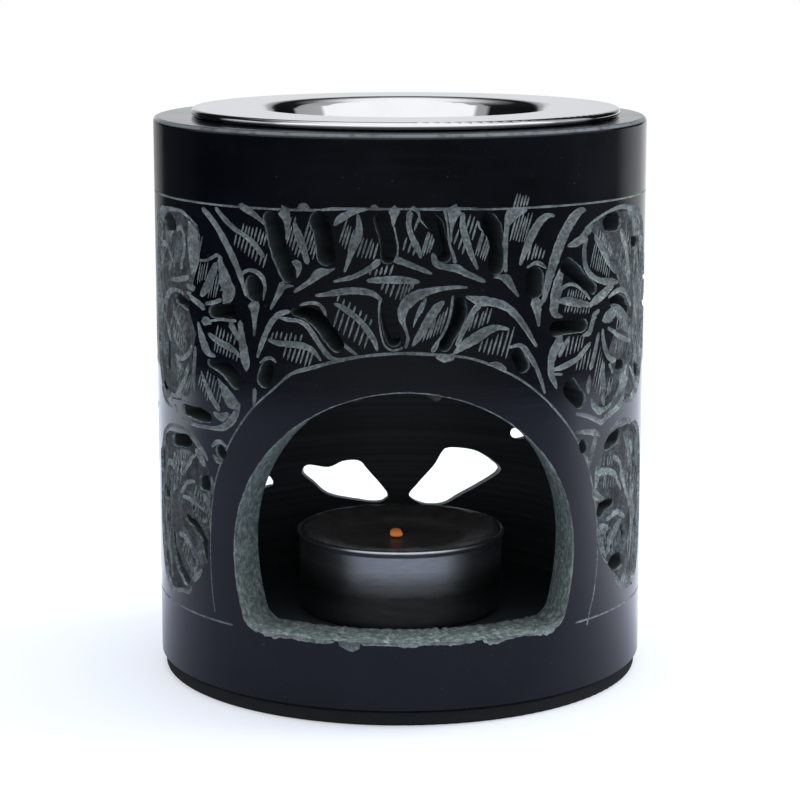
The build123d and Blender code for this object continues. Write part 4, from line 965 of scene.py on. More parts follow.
def groove_lines():
    """Every groove: the gouge's strokes, the sill's chips, the mouth's worn edge and the scribed lines."""
    strokes = all_round(crown_strokes, broader(left_upper_strokes), broader(right_upper_strokes),
                        broader(left_lower_strokes), broader(right_lower_strokes), back_strokes)
    lines = drawn(strokes, stroke_step, stroke_share) + drawn(sill_chips, chip_step, chip_share)
    lines.append(hand_cut(worn_edge(), edge_share))
    ring_start, ring_end = lower_ring_ends
    lower_ring = [
        (ring_start + (ring_end - ring_start) * share, lower_ring_height, lower_ring_width)
        for share in np.linspace(0, 1, lower_ring_points)
    ]
    return lines + drawn((border_line, upper_ring, lower_ring), scribed_step, scribed_share)


def draw_holes(outer):
    """The outlines of the vents, the mouth and the back windows on the outer wall."""
    vents = all_round(crown_vents + corner_vents, left_upper_vents, right_upper_vents, left_lower_vents,
                      right_lower_vents, back_vents)
    for vent in drawn(vents, vent_step, vent_share):
        outer.add_area(ribbon_outline(vent, True), hole_tag)
    outer.add_area(mouth_on_wall(), hole_tag)
    for window in back_windows:
        outer.add_area(window_outline(window), hole_tag)


def carved_wall(outer):
    """Places, depths, triangles and tags of the outer wall with all that is cut into it."""
    scoops = all_round([], left_upper_scoops, right_upper_scoops, left_lower_scoops, right_lower_scoops, [])
    hollows = drawn(scoops, hollow_step, hollow_share)
    grounds = [np.array(outline) for outline in all_round(
        [], [left_upper_ground], [right_upper_ground], [left_lower_ground], [right_lower_ground],
        [back_ground])]
    ticks = hatching(all_round(crown_hatching, left_upper_hatching, right_upper_hatching,
                               left_lower_hatching, right_lower_hatching, back_hatching))
    lines = groove_lines()
    for outline in grounds:
        outer.add_area(outline, ground_tag)
    for line in hollows:
        outer.add_area(ribbon_outline(line, False), scoop_tag)
    for line in lines:
        outer.add_area(ribbon_outline(line, False), groove_tag)
        outer.add_line(line[:, :2])
    for line in ticks:
        outer.add_area(ribbon_outline(line, False), tick_tag)
        outer.add_line(line[1:-1, :2])
    draw_holes(outer)
    places, triangles, tags = outer.triangulate()
    depths = np.maximum(carve_depths(places, hollows, scoop_depth), ground_depths(places, grounds))
    depths = np.maximum(carve_depths(places, lines, deepest_groove), depths)
    depths += carve_depths(places, ticks, tick_depth)
    roughness = np.array([noise.noise(Vector((u * 1.7, z * 1.7, 0))) for u, z in places])
    depths = np.where(depths > least_depth, depths * (1 + 0.35 * roughness), 0)
    solid = (tags & hole_tag) == 0
    return places, depths, triangles[solid], tags[solid]


def surfaces(tags):
    """Which triangles are polished, freshly cut, scraped or sunk, with their material and group."""
    in_groove, in_scoop, in_tick, in_ground = (
        tags & tag > 0 for tag in (groove_tag, scoop_tag, tick_tag, ground_tag))
    fresh = in_groove | (in_tick & ~in_scoop)
    scraped = in_scoop & ~in_tick & ~fresh
    lowered = (in_ground | in_scoop) & ~fresh & ~scraped
    flush = ~fresh & ~scraped & ~lowered
    return ((flush, polished, flush_group), (fresh, cut, groove_group),
            (scraped, leaf, groove_group), (lowered, sunk, groove_group))


def build_stone_mesh():
    """The whole carved stone as one closed mesh."""
    outer = Unrolled(stone_radius, stone_foot + foot_bevel, stone_top - rim_round, outer_spacing)
    inner = Unrolled(bore_radius, floor_top + floor_corner, stone_top - rim_round, inner_spacing)
    places, depths, triangles, tags = carved_wall(outer)
    shell = Shell()
    on_wall = rolled(stone_radius - depths, places[:, 0] / stone_radius, places[:, 1])
    skin = shell.add_vertices(on_wall)
    for chosen, material, group in surfaces(tags):
        shell.add_faces([tuple(face) for face in triangles[chosen].tolist()], material, group)
    ends = [np.abs(places[:, 1] - height) < touching for height in (outer.low, outer.high)]
    loops = rim_loops(triangles, ends[0] | ends[1])
    inner_rings = []
    for loop in loops:
        unbroken = np.unwrap(places[loop, 0], period=around)
        inner_rings.append(through_wall(np.column_stack([unbroken, places[loop, 1]])))
        inner.add_area(inner_rings[-1], hole_tag)
    inner_places, inner_triangles, inner_tags = inner.triangulate()
    on_bore = rolled(bore_radius, inner_places[:, 0] / bore_radius, inner_places[:, 1])
    lining = shell.add_vertices(on_bore)
    inner_triangles = inner_triangles[inner_tags & hole_tag == 0]
    shell.add_faces([tuple(lining[face[::-1]]) for face in inner_triangles], bore, bore_group)
    nearest = tree_of(on_bore)
    for loop, ring in zip(loops, inner_rings):
        edge = rolled(bore_radius, ring[:, 0] / bore_radius, ring[:, 1])
        matches = [nearest.find(tuple(place))[1] for place in edge]
        wall_of_hole(shell, skin[loop], on_wall[loop], lining[matches], edge)
    close_rim(shell, end_ring(places, outer.high, skin), end_ring(inner_places, inner.high, lining))
    close_floor(shell, *end_ring(inner_places, inner.low, lining))
    close_foot(shell, *end_ring(places, outer.low, skin))
    return shell


def mouth_on_wall():
    """The arch's outline on the unrolled face of the stone."""
    outline = mouth_outline(mouth_radius)
    return np.array([(stone_radius * math.asin(x / stone_radius), z) for x, z in outline])


def worn_edge():
    """A thin line along the crown and legs of the arch, where its sharp edge has broken away."""
    arch = mouth_on_wall()
    right_leg = leg_points - 1
    sill = sill_points - 2
    past_left_leg = len(arch) - sill - right_leg
    arch = np.vstack([arch[past_left_leg + sill:], arch[:past_left_leg]])
    return np.hstack([arch, np.full((len(arch), 1), edge_width)])


def straight_fall(x):
    """How far a window cut straight through the back falls from the bore to the outside."""
    return (np.sqrt(stone_radius ** 2 - x ** 2) - np.sqrt(bore_radius ** 2 - x ** 2)) * petal_slope


def window_outline(petal):
    """A back window's outline on the outside of the stone, cut straight along Y: (u, z)."""
    closed = petal[-1:] + petal + petal[:2]
    line = smooth_line([(x, z, 1) for x, z in closed], window_step)
    starts = np.flatnonzero(np.hypot(*(line[:, :2] - petal[0]).T) < touching)
    return np.array([
        (stone_radius * (math.pi - math.asin(x / stone_radius)), z - straight_fall(x))
        for x, z, _ in line[starts[0]:starts[-1]]
    ])


def through_wall(ring):
    """The same hole's outline on the bore, as (u on the bore, z)."""
    angles = ring[:, 0] / stone_radius
    middle = angles.mean()
    height = ring[:, 1].mean()
    if np.ptp(ring[:, 0]) > mouth_least_width:
        return np.array([mouth_inside(u, z) for u, z in ring])
    if cut_straight(middle, height):
        x = stone_radius * np.sin(angles)
        inside = math.pi - np.arcsin(x / bore_radius)
        inside = np.where(middle < 0, inside - 2 * math.pi, inside)
        return np.stack([inside * bore_radius, ring[:, 1] + straight_fall(x)], axis=1)
    inside = middle + (angles - middle) * stone_radius / bore_radius
    return np.stack([inside * bore_radius, ring[:, 1]], axis=1)


def cut_straight(middle, height):
    """Whether the hole round this place of the wall is one of the back windows."""
    for window in back_windows:
        u, z = window_outline(window).mean(axis=0)
        apart = abs(middle * stone_radius - u) % around
        if math.hypot(min(apart, around - apart), height - z) < window_reach:
            return True
    return False


def mouth_inside(u, z):
    """Where a place on the mouth's outer edge comes out on the bore."""
    x = stone_radius * math.sin(u / stone_radius)
    if mouth_sill + sill_edge < z <= mouth_spring:
        x -= math.copysign(mouth_narrowing, x)
    else:
        x *= (mouth_radius - mouth_narrowing) / mouth_radius
    return math.asin((x + mouth_shift) / bore_radius) * bore_radius, z


def wall_of_hole(shell, outer_ring, outer_places, inner_ring, inner_places):
    """The sides of a hole through the wall, cut by hand and a little rough."""
    wide = np.ptp(outer_places[:, 0]) > mouth_least_width
    shares = np.linspace(0, 1, 17)[1:-1] if wide else (0.06, 0.2, 0.4, 0.6, 0.8)
    coarse, fine = mouth_rough if wide else vent_rough
    rings = [outer_ring]
    for share in shares:
        places = outer_places * (1 - share) + inner_places * share
        fade = min(1, share * 8, (1 - share) * 8)
        places += fade * coarse * np.array([noise.noise_vector(Vector(p) * 0.8) for p in places])
        places += fade * fine * np.array([noise.noise_vector(Vector(p) * 2.6) for p in places])
        rings.append(shell.add_vertices(places))
    rings.append(inner_ring)
    for step, (upper, lower) in enumerate(zip(rings, rings[1:])):
        shell.add_band(upper[::-1], lower[::-1], side if wide or step < 1 else bore, side_group)


def end_ring(places, height, vertices):
    """The vertices of a wall's straight edge, in order round the stone."""
    edge = np.flatnonzero(np.abs(places[:, 1] - height) < touching)
    order = edge[np.argsort(places[edge, 0])]
    return vertices[order], places[order, 0]


def close_rim(shell, outer_end, inner_end):
    """The rounded rim from the outer wall over to the bore, with the shape of its outer edge a little uneven.
    """
    upper, along = outer_end
    angles = along / stone_radius
    rings = [upper]
    for turn in np.radians([18, 36, 54, 72, 90]):
        wear = np.array([1 + 0.25 * noise.noise(Vector((a * 6, turn, 3.0))) for a in angles])
        radii = stone_radius - rim_round * (1 - math.cos(turn)) * wear
        heights = stone_top - rim_round * (1 - math.sin(turn)) * wear
        rings.append(shell.add_vertices(rolled(radii, angles, heights)))
    inner_upper, inner_along = inner_end
    for turn in np.radians([90, 60, 30]):
        radius = bore_radius + rim_round * (1 - math.cos(turn))
        height = stone_top - rim_round * (1 - math.sin(turn))
        rings.append(shell.add_vertices(rolled(radius, inner_along / bore_radius, height)))
    shell.add_turned(rings + [inner_upper], polished)


def close_floor(shell, edge, along):
    """The floor inside, with its rounded corner."""
    angles = along / bore_radius
    rings = [edge]
    for turn in np.radians([30, 60, 90]):
        radius = bore_radius - floor_corner * (1 - math.cos(turn))
        height = floor_top + floor_corner * (1 - math.sin(turn))
        rings.append(shell.add_vertices(rolled(radius, angles, height)))
    for radius in floor_rings:
        rings.append(shell.add_vertices(rolled(radius, angles, floor_top)))
    shell.add_turned(rings, bore)
    shell.add_faces([tuple(rings[-1])], bore, turned_group)


def close_foot(shell, edge, along):
    """The bevel at the foot and the underside."""
    angles = along / stone_radius
    rings = [edge]
    for radius in (stone_radius - foot_bevel, stone_radius / 2):
        rings.append(shell.add_vertices(rolled(radius, angles, stone_foot)))
    shell.add_turned(rings[::-1], polished)
    shell.add_faces([tuple(rings[-1][::-1])], polished, turned_group)


def shading_normals(vertices, faces, groups):
    """A normal for each corner: radial on the polished wall, smooth inside each other group."""
    corners = np.array([v for face in faces for v in face])
    sizes = np.array([len(face) for face in faces])
    group_of = np.repeat(np.array(groups), sizes)
    start = np.concatenate([[0], np.cumsum(sizes)[:-1]])
    first, second, third = (vertices[corners[start + k]] for k in range(3))
    face_normals = np.cross(second - first, third - first)
    per_corner = np.repeat(face_normals, sizes, axis=0)
    normals = np.zeros((len(corners), 3))
    for group in (groove_group, side_group, bore_group, turned_group):
        chosen = group_of == group
        total = np.zeros((len(vertices), 3))
        np.add.at(total, corners[chosen], per_corner[chosen])
        normals[chosen] = total[corners[chosen]]
    chosen = group_of == flush_group
    radial = vertices[corners[chosen]] * (1, 1, 0)
    normals[chosen] = radial
    return normals / np.maximum(np.linalg.norm(normals, axis=1), 1e-12)[:, None]


def mesh_object(name, shell, materials):
    """A Blender object in metres from a gathered shell."""
    vertices = np.vstack(shell.vertices)
    mesh = bpy.data.meshes.new(name)
    faces = [tuple(int(v) for v in face) for face in shell.faces]
    mesh.from_pydata((vertices * mm).tolist(), [], faces)
    mesh.polygons.foreach_set("material_index", shell.materials)
    mesh.polygons.foreach_set("use_smooth", [True] * len(faces))
    for material in materials:
        mesh.materials.append(material)
    mark_group_edges(mesh, [len(face) for face in faces], shell.groups)
    normals = shading_normals(vertices, faces, shell.groups)
    mesh.normals_split_custom_set(normals.tolist())
    return add_object(name, mesh)


def add_object(name, data):
    """A new object of the scene."""
    made = bpy.data.objects.new(name, data)
    bpy.context.scene.collection.objects.link(made)
    return made


def mark_group_edges(mesh, sizes, groups):
    """Marks the edges between two smoothing groups as sharp."""
    edge_of = np.zeros(len(mesh.loops), int)
    mesh.loops.foreach_get("edge_index", edge_of)
    group_of = np.repeat(np.array(groups), sizes)
    lowest = np.full(len(mesh.edges), turned_group + 1)
    highest = np.full(len(mesh.edges), -1)
    np.minimum.at(lowest, edge_of, group_of)
    np.maximum.at(highest, edge_of, group_of)
    sharp = mesh.attributes.new("sharp_edge", "BOOLEAN", "EDGE")
    sharp.data.foreach_set("value", lowest != highest)


class Nodes:
    """A short way to write a material's nodes."""

    def __init__(self, name):
        self.material = bpy.data.materials.new(name)
        self.material.use_nodes = True
        self.tree = self.material.node_tree
        self.shader = self.tree.nodes["Principled BSDF"]
        self.place = self.tree.nodes.new("ShaderNodeTexCoord").outputs["Object"]

    def add(self, kind, **settings):
        node = self.tree.nodes.new(kind)
        for key, value in settings.items():
            if key in node.inputs:
                node.inputs[key].default_value = value
            else:
                setattr(node, key, value)
        return node

    def link(self, source, target):
        self.tree.links.new(source, target)

    def feed(self, name, source):
        """Links a value to one of the shader's inputs."""
        self.link(source, self.shader.inputs[name])

    def set(self, **values):
        for key, value in values.items():
            self.shader.inputs[key.replace("_", " ")].default_value = value

    def noise(self, scale, detail=4, roughness=0.6, stretch=(1, 1, 1)):
        mapping = self.add("ShaderNodeMapping")
        mapping.inputs["Scale"].default_value = stretch
        self.link(self.place, mapping.inputs["Vector"])
        texture = self.add("ShaderNodeTexNoise", Scale=scale, Detail=detail, Roughness=roughness)
        self.link(mapping.outputs["Vector"], texture.inputs["Vector"])
        return texture.outputs["Fac"]

    def ramp(self, value, *stops):
        """A colour or grey ramp from (place, colour) stops."""
        node = self.add("ShaderNodeValToRGB")
        elements = node.color_ramp.elements
        while len(elements) < len(stops):
            elements.new(0.5)
        for element, (where, colour) in zip(elements, stops):
            element.position = where
            element.color = (*colour, 1) if isinstance(colour, tuple) else (colour, colour, colour, 1)
        self.link(value, node.inputs["Fac"])
        return node.outputs["Color"]

    def mix(self, factor, first, second, blend="MIX"):
        node = self.add("ShaderNodeMix", data_type="RGBA", blend_type=blend)
        for socket, value in ((0, factor), (6, first), (7, second)):
            if isinstance(value, bpy.types.NodeSocket):
                self.link(value, node.inputs[socket])
            elif isinstance(value, tuple):
                node.inputs[socket].default_value = (*value, 1)
            else:
                node.inputs[socket].default_value = value
        return node.outputs[2]

    def axes(self):
        """The three parts of the place, X, Y and Z."""
        node = self.add("ShaderNodeSeparateXYZ")
        self.link(self.place, node.inputs[0])
        return node.outputs

    def span(self, value, low, high):
        """How far a length is on its way from low to high, both in millimetres."""
        node = self.add("ShaderNodeMapRange")
        self.link(value, node.inputs["Value"])
        node.inputs["From Min"].default_value = low * mm
        node.inputs["From Max"].default_value = high * mm
        return node.outputs[0]

    def bump(self, height, distance, strength=1.0):
        node = self.add("ShaderNodeBump", Distance=distance, Strength=strength)
        self.link(height, node.inputs["Height"])
        self.feed("Normal", node.outputs["Normal"])


def polished_stone():
    """Blue-black soapstone, polished, with faint turning marks, pale specks and a painted highlight round the
    rim.
    """
    m = Nodes("polished_soapstone")
    cloud = m.ramp(m.noise(90, 5), (0.35, (0.0014, 0.0019, 0.0033)), (0.7, (0.0030, 0.0039, 0.0066)))
    specks = m.ramp(m.noise(1500, 2, 0.5), (0.735, 0.0), (0.76, 0.35))
    colour = m.mix(specks, cloud, (0.07, 0.075, 0.085))
    # Painted highlight: a pale band with small gaps round the rim's rounding, for the bright room mirrored in
    # the polish.
    rise = m.span(m.axes()["Z"], stone_top - rim_round, stone_top)
    strip = m.ramp(rise, (0.25, 0.0), (0.42, 1.0), (0.8, 1.0), (0.97, 0.0))
    painted_rim_highlight = m.mix(1.0, strip, m.ramp(m.noise(330, 5, 0.7), (0.30, 0.25), (0.5, 1.0)), "MULTIPLY")
    m.feed("Base Color", m.mix(painted_rim_highlight, colour, (0.13, 0.145, 0.16)))
    streaks = m.noise(60, 6, 0.7, (1, 1, 14))
    m.feed("Roughness", m.ramp(streaks, (0.3, 0.06), (0.75, 0.15)))
    m.bump(m.noise(700, 4, 0.7, (0.3, 0.3, 3)), polish_bump, 0.25)
    m.set(IOR=1.46)
    return m.material


def cut_stone():
    """Fresh grey-green stone in the bottom of the gouge marks."""
    m = Nodes("cut_soapstone")
    grain = m.noise(1700, 5, 0.75)
    colour = m.ramp(grain, (0.34, (0.060, 0.075, 0.078)), (0.5, (0.138, 0.166, 0.170)),
                    (0.68, (0.27, 0.305, 0.31)))
    blotch = m.ramp(m.noise(260, 4), (0.36, 0.5), (0.62, 1.1))
    m.feed("Base Color", m.mix(1.0, colour, blotch, "MULTIPLY"))
    m.bump(grain, cut_bump, 0.9)
    m.set(Roughness=0.75, IOR=1.45)
    return m.material


def scraped_stone(name, dark, middle, pale):
    """Stone scraped matt between the leaves, darker than the fresh cuts."""
    m = Nodes(name)
    grain = m.noise(1300, 5, 0.75)
    colour = m.ramp(grain, (0.36, dark), (0.5, middle), (0.66, pale))
    blotch = m.ramp(m.noise(180, 4), (0.38, 0.35), (0.64, 1.25))
    m.feed("Base Color", m.mix(1.0, colour, blotch, "MULTIPLY"))
    m.bump(grain, scrape_bump, 0.9)
    m.set(Roughness=0.7, IOR=1.45)
    return m.material


def side_stone():
    """Sides of the vents and the mouth: raw stone, darker towards the bore."""
    m = Nodes("raw_soapstone_sides")
    grain = m.noise(900, 6, 0.7)
    colour = m.ramp(grain, (0.32, (0.050, 0.070, 0.070)), (0.50, (0.150, 0.194, 0.190)),
                    (0.70, (0.42, 0.49, 0.475)))
    x, y, _ = m.axes()
    flat = m.add("ShaderNodeCombineXYZ")
    m.link(x, flat.inputs["X"])
    m.link(y, flat.inputs["Y"])
    length = m.add("ShaderNodeVectorMath", operation="LENGTH")
    m.link(flat.outputs[0], length.inputs[0])
    outward = m.span(length.outputs["Value"], bore_radius, stone_radius)
    # The colour is darkened towards the bore, down to six tenths at the bore's side of each hole.
    darker_inward = m.ramp(outward, (0.0, 0.6), (0.6, 0.85), (1.0, 1.0))
    m.feed("Base Color", m.mix(1.0, colour, darker_inward, "MULTIPLY"))
    m.bump(grain, side_bump, 0.9)
    m.set(Roughness=0.8, IOR=1.45)
    return m.material


def bore_stone():
    """The turned bore and floor, matt and dark with faint rings."""
    m = Nodes("turned_soapstone")
    rings = m.noise(40, 4, 0.6, (0.2, 0.2, 30))
    colour = m.ramp(rings, (0.3, (0.026, 0.032, 0.036)), (0.7, (0.060, 0.070, 0.074)))
    m.feed("Base Color", colour)
    m.bump(rings, bore_bump, 0.5)
    m.set(Roughness=0.55, IOR=1.45)
    return m.material


def spun_metal():
    """Bright spun metal with very fine rings from the lathe."""
    m = Nodes("spun_dish_metal")
    haze = m.noise(160, 4)
    m.feed("Base Color", m.ramp(haze, (0.3, (0.91, 0.917, 0.93)), (0.7, (0.955, 0.96, 0.968))))
    m.feed("Roughness", m.ramp(m.noise(500, 4, 0.7), (0.3, 0.03), (0.75, 0.075)))
    m.set(Metallic=1.0)
    return m.material


def cup_metal():
    """Satin aluminium of the pressed cup, with painted shade on its lower part."""
    m = Nodes("pressed_aluminium")
    grain = m.noise(400, 5, 0.7, (1, 1, 6))
    bright = m.ramp(grain, (0.3, (0.60, 0.61, 0.635)), (0.7, (0.72, 0.73, 0.75)))
    # Painted shade: below about three quarters of its height the cup is darkened, with a lighter band, for
    # the dark stone it mirrors.
    rise = m.span(m.axes()["Z"], cup_low.z, cup_high.z)
    painted_cup_shade = m.ramp(rise, (0.0, 0.35), (0.22, 0.42), (0.4, 0.25), (0.56, 0.45), (0.74, 1.0), (0.97, 1.0))
    m.feed("Base Color", m.mix(1.0, bright, painted_cup_shade, "MULTIPLY"))
    m.feed("Roughness", m.ramp(grain, (0.3, 0.30), (0.7, 0.40)))
    m.set(Metallic=1.0)
    return m.material


def wax():
    """Dark wax, soft."""
    m = Nodes("dark_wax")
    dark = m.ramp(m.noise(300, 4), (0.3, (0.078, 0.073, 0.075)), (0.7, (0.140, 0.133, 0.136)))
    # Painted highlights: scattered pale specks stand for small glints on the wax.
    painted_glints = m.ramp(m.noise(800, 3), (0.68, 0.0), (0.74, 0.5))
    m.feed("Base Color", m.mix(painted_glints, dark, (0.30, 0.30, 0.31)))
    m.bump(m.noise(500, 3), wax_bump, 0.5)
    m.set(Roughness=0.42, IOR=1.44)
    return m.material


def felt():
    """Black felt of the pad."""
    m = Nodes("black_felt")
    fibre = m.noise(2600, 6, 0.8)
    m.feed("Base Color", m.ramp(fibre, (0.3, (0.003, 0.003, 0.0035)), (0.75, (0.010, 0.010, 0.011))))
    m.bump(fibre, felt_bump, 0.9)
    m.set(Roughness=0.95)
    return m.material


def wick_cotton():
    """Charred cotton with an orange tip that glows with painted light."""
    m = Nodes("wick_cotton")
    rise = m.span(m.axes()["Z"], wick_high.z - glowing_tip_low, wick_high.z - glowing_tip_high)
    colour = m.ramp(rise, (0.2, (0.012, 0.008, 0.006)), (0.45, (0.30, 0.10, 0.03)),
                    (1.0, (0.42, 0.16, 0.045)))
    m.feed("Base Color", colour)
    # Painted glow: the orange tip gives off light of its own, though it is no lamp.
    m.feed("Emission Strength", m.ramp(rise, (0.22, 0.0), (0.42, 0.42), (0.7, 0.3), (1.0, 0.1)))
    m.set(Emission_Color=(1.0, 0.30, 0.07, 1))
    m.bump(m.noise(3000, 3), wick_bump)
    m.set(Roughness=0.9)
    return m.material


def tin():
    """Thin tinned steel."""
    m = Nodes("tinned_steel")
    grain = m.noise(700, 4)
    m.feed("Base Color", m.ramp(grain, (0.3, (0.5, 0.5, 0.5)), (0.7, (0.62, 0.62, 0.62))))
    m.set(Metallic=1.0, Roughness=0.3)
    return m.material


def dress(node, material):
    """Gives a CAD node a material."""
    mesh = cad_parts[node].data
    if not mesh.materials:
        mesh.materials.append(material)
    for index in range(len(mesh.materials)):
        mesh.materials[index] = material


def build_stone():
    """The carved stone with its six surfaces."""
    stone = mesh_object("carved_stone", build_stone_mesh(),
                        [polished_stone(), cut_stone(), side_stone(), bore_stone(),
                         scraped_stone("sunk_soapstone", *sunk_tones),
                         scraped_stone("leaf_soapstone", *leaf_tones)])
    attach(stone, "stone")
    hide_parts("stone_body")


def ring_object(name, rings, material, node):
    """A closed mesh through rings of places in millimetres, which stands for a node of the tealight."""
    size = len(rings[0])
    faces = []
    for lower in range(0, (len(rings) - 1) * size, size):
        upper = lower + size
        for k in range(size):
            past = (k + 1) % size
            faces.append((lower + k, lower + past, upper + past, upper + k))
    faces.append(tuple(range(size))[::-1])
    faces.append(tuple(range((len(rings) - 1) * size, len(rings) * size)))
    mesh = bpy.data.meshes.new(name)
    mesh.from_pydata((np.vstack(rings) * mm).tolist(), [], faces)
    mesh.polygons.foreach_set("use_smooth", [True] * len(faces))
    mesh.materials.append(material)
    made = add_object(name, mesh)
    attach(made, "tealight")
    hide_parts(node)


def ring(radii, heights, lean=0):
    """A ring of places round the tealight's axis."""
    middle = (cup_low + cup_high) / 2
    across = middle.x - lean + radii * np.cos(tealight_angles)
    along = middle.y + radii * np.sin(tealight_angles)
    return np.stack([across, along, heights + 0 * tealight_angles], axis=1)


def uneven(seed, scale):
    """Values round a ring that wander as a melted edge does."""
    values = []
    for x, y in zip(scale * np.cos(tealight_angles), scale * np.sin(tealight_angles)):
        fine = noise.noise(Vector((4 * x, 4 * y, seed)))
        values.append(noise.noise(Vector((x, y, seed))) + 0.5 * fine)
    return np.array(values)


def build_tealight():
    """The candle: a ragged ring of wax up to the rim, a pool, a glowing wick and a rolled cup."""
    rim = cup_high.z
    wax_shape = [
        ring(radius + across * uneven(step * 0.4, 2.2), rim - drop + up * uneven(9 + step * 0.3, 2.6))
        for step, (radius, drop, across, up) in enumerate(wax_rings)
    ]
    ring_object("melted_wax", wax_shape, wax(), "tealight_wax")
    wick_shape = [
        ring(radius * (1 + 0.1 * uneven(step, 1.5)), wick_high.z - drop, lean)
        for step, (drop, radius, lean) in enumerate(wick_rings)
    ]
    ring_object("glowing_wick", wick_shape, wick_cotton(), "tealight_wick")
    cup_shape = [ring(radius, rim - drop) for radius, drop in cup_outline]
    ring_object("rolled_cup", cup_shape, cup_metal(), "tealight_cup")


def build_floor():
    """A pale floor that keeps the object's shadow and is white round it; in mirrors it shows painted light.
    """
    turns = np.linspace(0, 2 * math.pi, floor_points, endpoint=False)
    corners = [(floor_radius * math.cos(turn), floor_radius * math.sin(turn), 0) for turn in turns]
    mesh = bpy.data.meshes.new("floor")
    mesh.from_pydata(corners, [], [tuple(range(floor_points))])
    floor = add_object("floor", mesh)
    m = Nodes("pale_floor")
    m.set(Roughness=0.9, Specular_IOR_Level=0.1)
    path = m.add("ShaderNodeLightPath")
    mirrored = path.outputs["Is Glossy Ray"]
    # In mirrors the floor is painted: a darker blue colour and a glow that grows towards the back and the
    # right.
    m.feed("Base Color", m.mix(mirrored, (0.50, 0.53, 0.62), (0.17, 0.19, 0.29)))
    x, y, _ = m.axes()
    slanted = m.add("ShaderNodeMath", operation="MULTIPLY_ADD")
    slanted.inputs[1].default_value = 0.25
    m.link(x, slanted.inputs[0])
    m.link(y, slanted.inputs[2])
    backward = m.span(slanted.outputs[0], -stone_radius, stone_radius)
    painted_mirror_light = m.ramp(backward, (0.0, 0.1), (0.28, 0.2), (0.5, 0.34), (0.67, 0.5), (0.83, 0.68), (1.0, 0.95))
    painted_mirror_light = m.mix(1.0, painted_mirror_light, (0.93, 0.96, 1.0), "MULTIPLY")
    m.feed("Emission Color", m.mix(mirrored, (0.35, 0.35, 0.34), painted_mirror_light))
    shown = m.add("ShaderNodeMath", operation="MAXIMUM")
    m.link(path.outputs["Is Camera Ray"], shown.inputs[0])
    m.link(mirrored, shown.inputs[1])
    m.feed("Emission Strength", shown.outputs[0])
    mesh.materials.append(m.material)


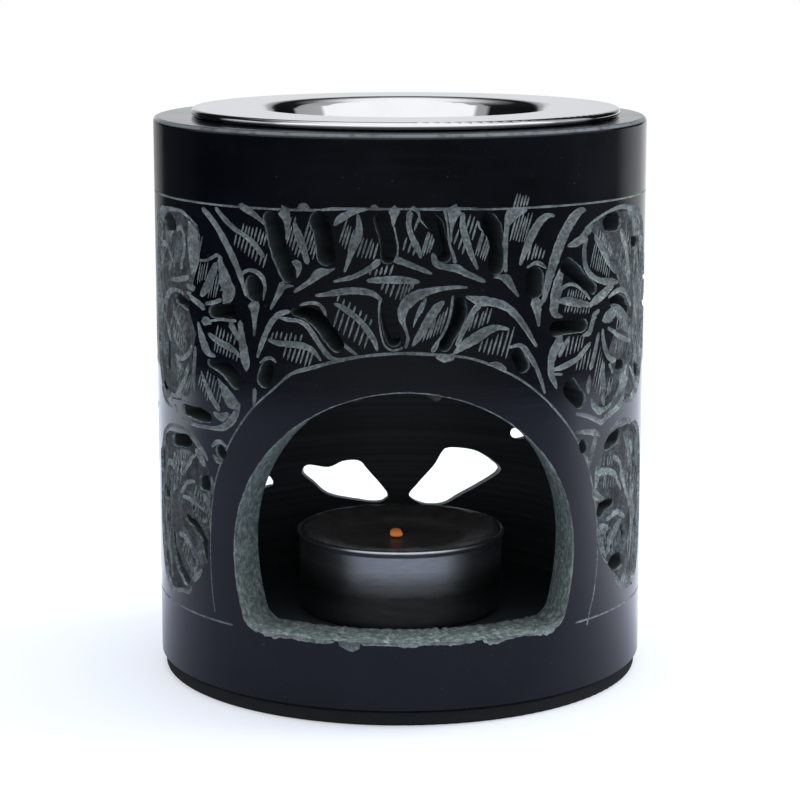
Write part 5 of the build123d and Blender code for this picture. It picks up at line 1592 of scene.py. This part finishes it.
def build_world():
    """A white room for the camera. Mirrors show a bright ceiling, a window and screens in front, a
    bright wall behind, and low light from both sides."""
    world = bpy.data.worlds.new("studio")
    bpy.context.scene.world = world
    world.use_nodes = True
    tree = world.node_tree
    tree.nodes.clear()
    out = tree.nodes.new("ShaderNodeOutputWorld")
    path = tree.nodes.new("ShaderNodeLightPath")
    parts = tree.nodes.new("ShaderNodeSeparateXYZ")
    tree.links.new(tree.nodes.new("ShaderNodeTexCoord").outputs["Generated"], parts.inputs[0])
    x, y, z = parts.outputs

    def math_node(operation, *values):
        node = tree.nodes.new("ShaderNodeMath")
        node.operation = operation
        for socket, value in zip(node.inputs, values):
            if isinstance(value, bpy.types.NodeSocket):
                tree.links.new(value, socket)
            else:
                socket.default_value = value
        return node.outputs[0]

    def ramp(value, *stops):
        node = tree.nodes.new("ShaderNodeFloatCurve")
        curve = node.mapping.curves[0]
        while len(curve.points) < len(stops):
            curve.points.new(0.5, 0.5)
        for point, place in zip(curve.points, stops):
            point.location = place
            point.handle_type = "VECTOR"
        node.mapping.update()
        tree.links.new(math_node("MAXIMUM", value, 0.0), node.inputs["Value"])
        return node.outputs[0]

    def background(strength, colour=(1, 1, 1)):
        node = tree.nodes.new("ShaderNodeBackground")
        node.inputs["Color"].default_value = (*colour, 1)
        if isinstance(strength, bpy.types.NodeSocket):
            tree.links.new(strength, node.inputs["Strength"])
        else:
            node.inputs["Strength"].default_value = strength
        return node.outputs[0]

    def choose(factor, first, second):
        node = tree.nodes.new("ShaderNodeMixShader")
        for socket, value in zip(node.inputs, (factor, first, second)):
            tree.links.new(value, socket)
        return node.outputs[0]

    rightward = math_node("MAXIMUM", x, 0.0)
    slant = math_node("MULTIPLY_ADD", x, 0.22, y)
    low = ramp(slant, (0, 0), (0.66, 0.03), (0.76, 0.26), (0.85, 0.40), (0.95, 0.50), (1, 0.72))
    low = math_node("MULTIPLY", low, math_node("MULTIPLY_ADD", rightward, 0.4, 1.0))
    low = math_node("MULTIPLY_ADD", rightward, 0.07, low)
    forward = math_node("MULTIPLY", y, -1.0)
    front = ramp(math_node("MULTIPLY", z, -4.0),
                 (0, 0.02), (0.35, 0.05), (0.55, 0.13), (0.75, 0.24), (1, 0.26))
    facing = ramp(forward, (0, 0), (0.5, 0.3), (0.9, 1), (1, 1))
    low = math_node("MAXIMUM", low, math_node("MULTIPLY", front, facing))
    window = ramp(math_node("MULTIPLY_ADD", x, 0.09, forward), (0, 0), (0.13, 0), (0.21, 1), (1, 1))
    screens = ramp(math_node("ADD", math_node("MULTIPLY_ADD", x, 0.27, forward), 0.4),
                   (0, 0), (0.2, 0), (0.27, 0.33), (0.8, 0.42), (1, 0.42))
    ceiling = ramp(z, (0, 0), (0.62, 0.01), (0.75, 0.15), (0.85, 0.5), (0.93, 0.9), (1, 1))
    behind = ramp(y, (0, 0), (0.8, 0), (0.86, 0.03), (0.91, 0.3), (0.95, 0.42), (0.98, 0.68), (1, 0.76))
    sideways = ramp(math_node("MULTIPLY", x, x), (0, 0), (0.78, 0), (0.86, 0.4), (1, 0.6))
    flanks = math_node("MULTIPLY", sideways, ramp(z, (0, 1), (0.3, 1), (0.42, 0), (1, 0)))
    high = math_node("MAXIMUM", math_node("MAXIMUM", window, ceiling), math_node("MAXIMUM", screens, behind))
    high = math_node("MAXIMUM", high, flanks)
    above = ramp(math_node("MULTIPLY_ADD", z, 8.0, 0.4), (0, 0), (0.2, 0), (0.7, 1), (1, 1))
    mirrored = math_node("ADD", math_node("MULTIPLY", high, above),
                         math_node("MULTIPLY", low, math_node("SUBTRACT", 1.0, above)))
    reflection = background(mirrored, (0.97, 0.98, 1.0))
    soft = background(0.85, (0.95, 0.98, 1.0))
    lit = choose(path.outputs["Is Glossy Ray"], soft, reflection)
    seen = choose(path.outputs["Is Camera Ray"], lit, background(1.0))
    tree.links.new(seen, out.inputs["Surface"])


def build_lights():
    """Soft rectangular lamps, all turned to the middle of the object."""
    for name, (place, size, power, colour) in lamps.items():
        data = bpy.data.lights.new(name, "AREA")
        data.shape = "RECTANGLE"
        data.size, data.size_y = size
        data.energy = power
        data.color = colour
        lamp = add_object(name, data)
        lamp.location = place
        lamp.rotation_euler = (lamp_target - Vector(place)).to_track_quat("-Z", "Y").to_euler()
        lamp.visible_glossy = False


def build_camera():
    """The photograph's camera, fitted to the edges of the stone."""
    data = bpy.data.cameras.new("photo_camera")
    data.lens = camera_lens
    data.sensor_width = camera_sensor
    data.clip_start = camera_clip
    camera = add_object("photo_camera", data)
    camera.location = [length * mm for length in camera_place]
    camera.rotation_euler = [math.radians(turn) for turn in camera_turn]
    bpy.context.scene.camera = camera


build_stone()
dress("base_pad", felt())
dress("oil_dish", spun_metal())
build_tealight()
dress("wick_sustainer", tin())
build_floor()
build_world()
build_lights()
build_camera()
bpy.context.scene.view_settings.view_transform = "Standard"
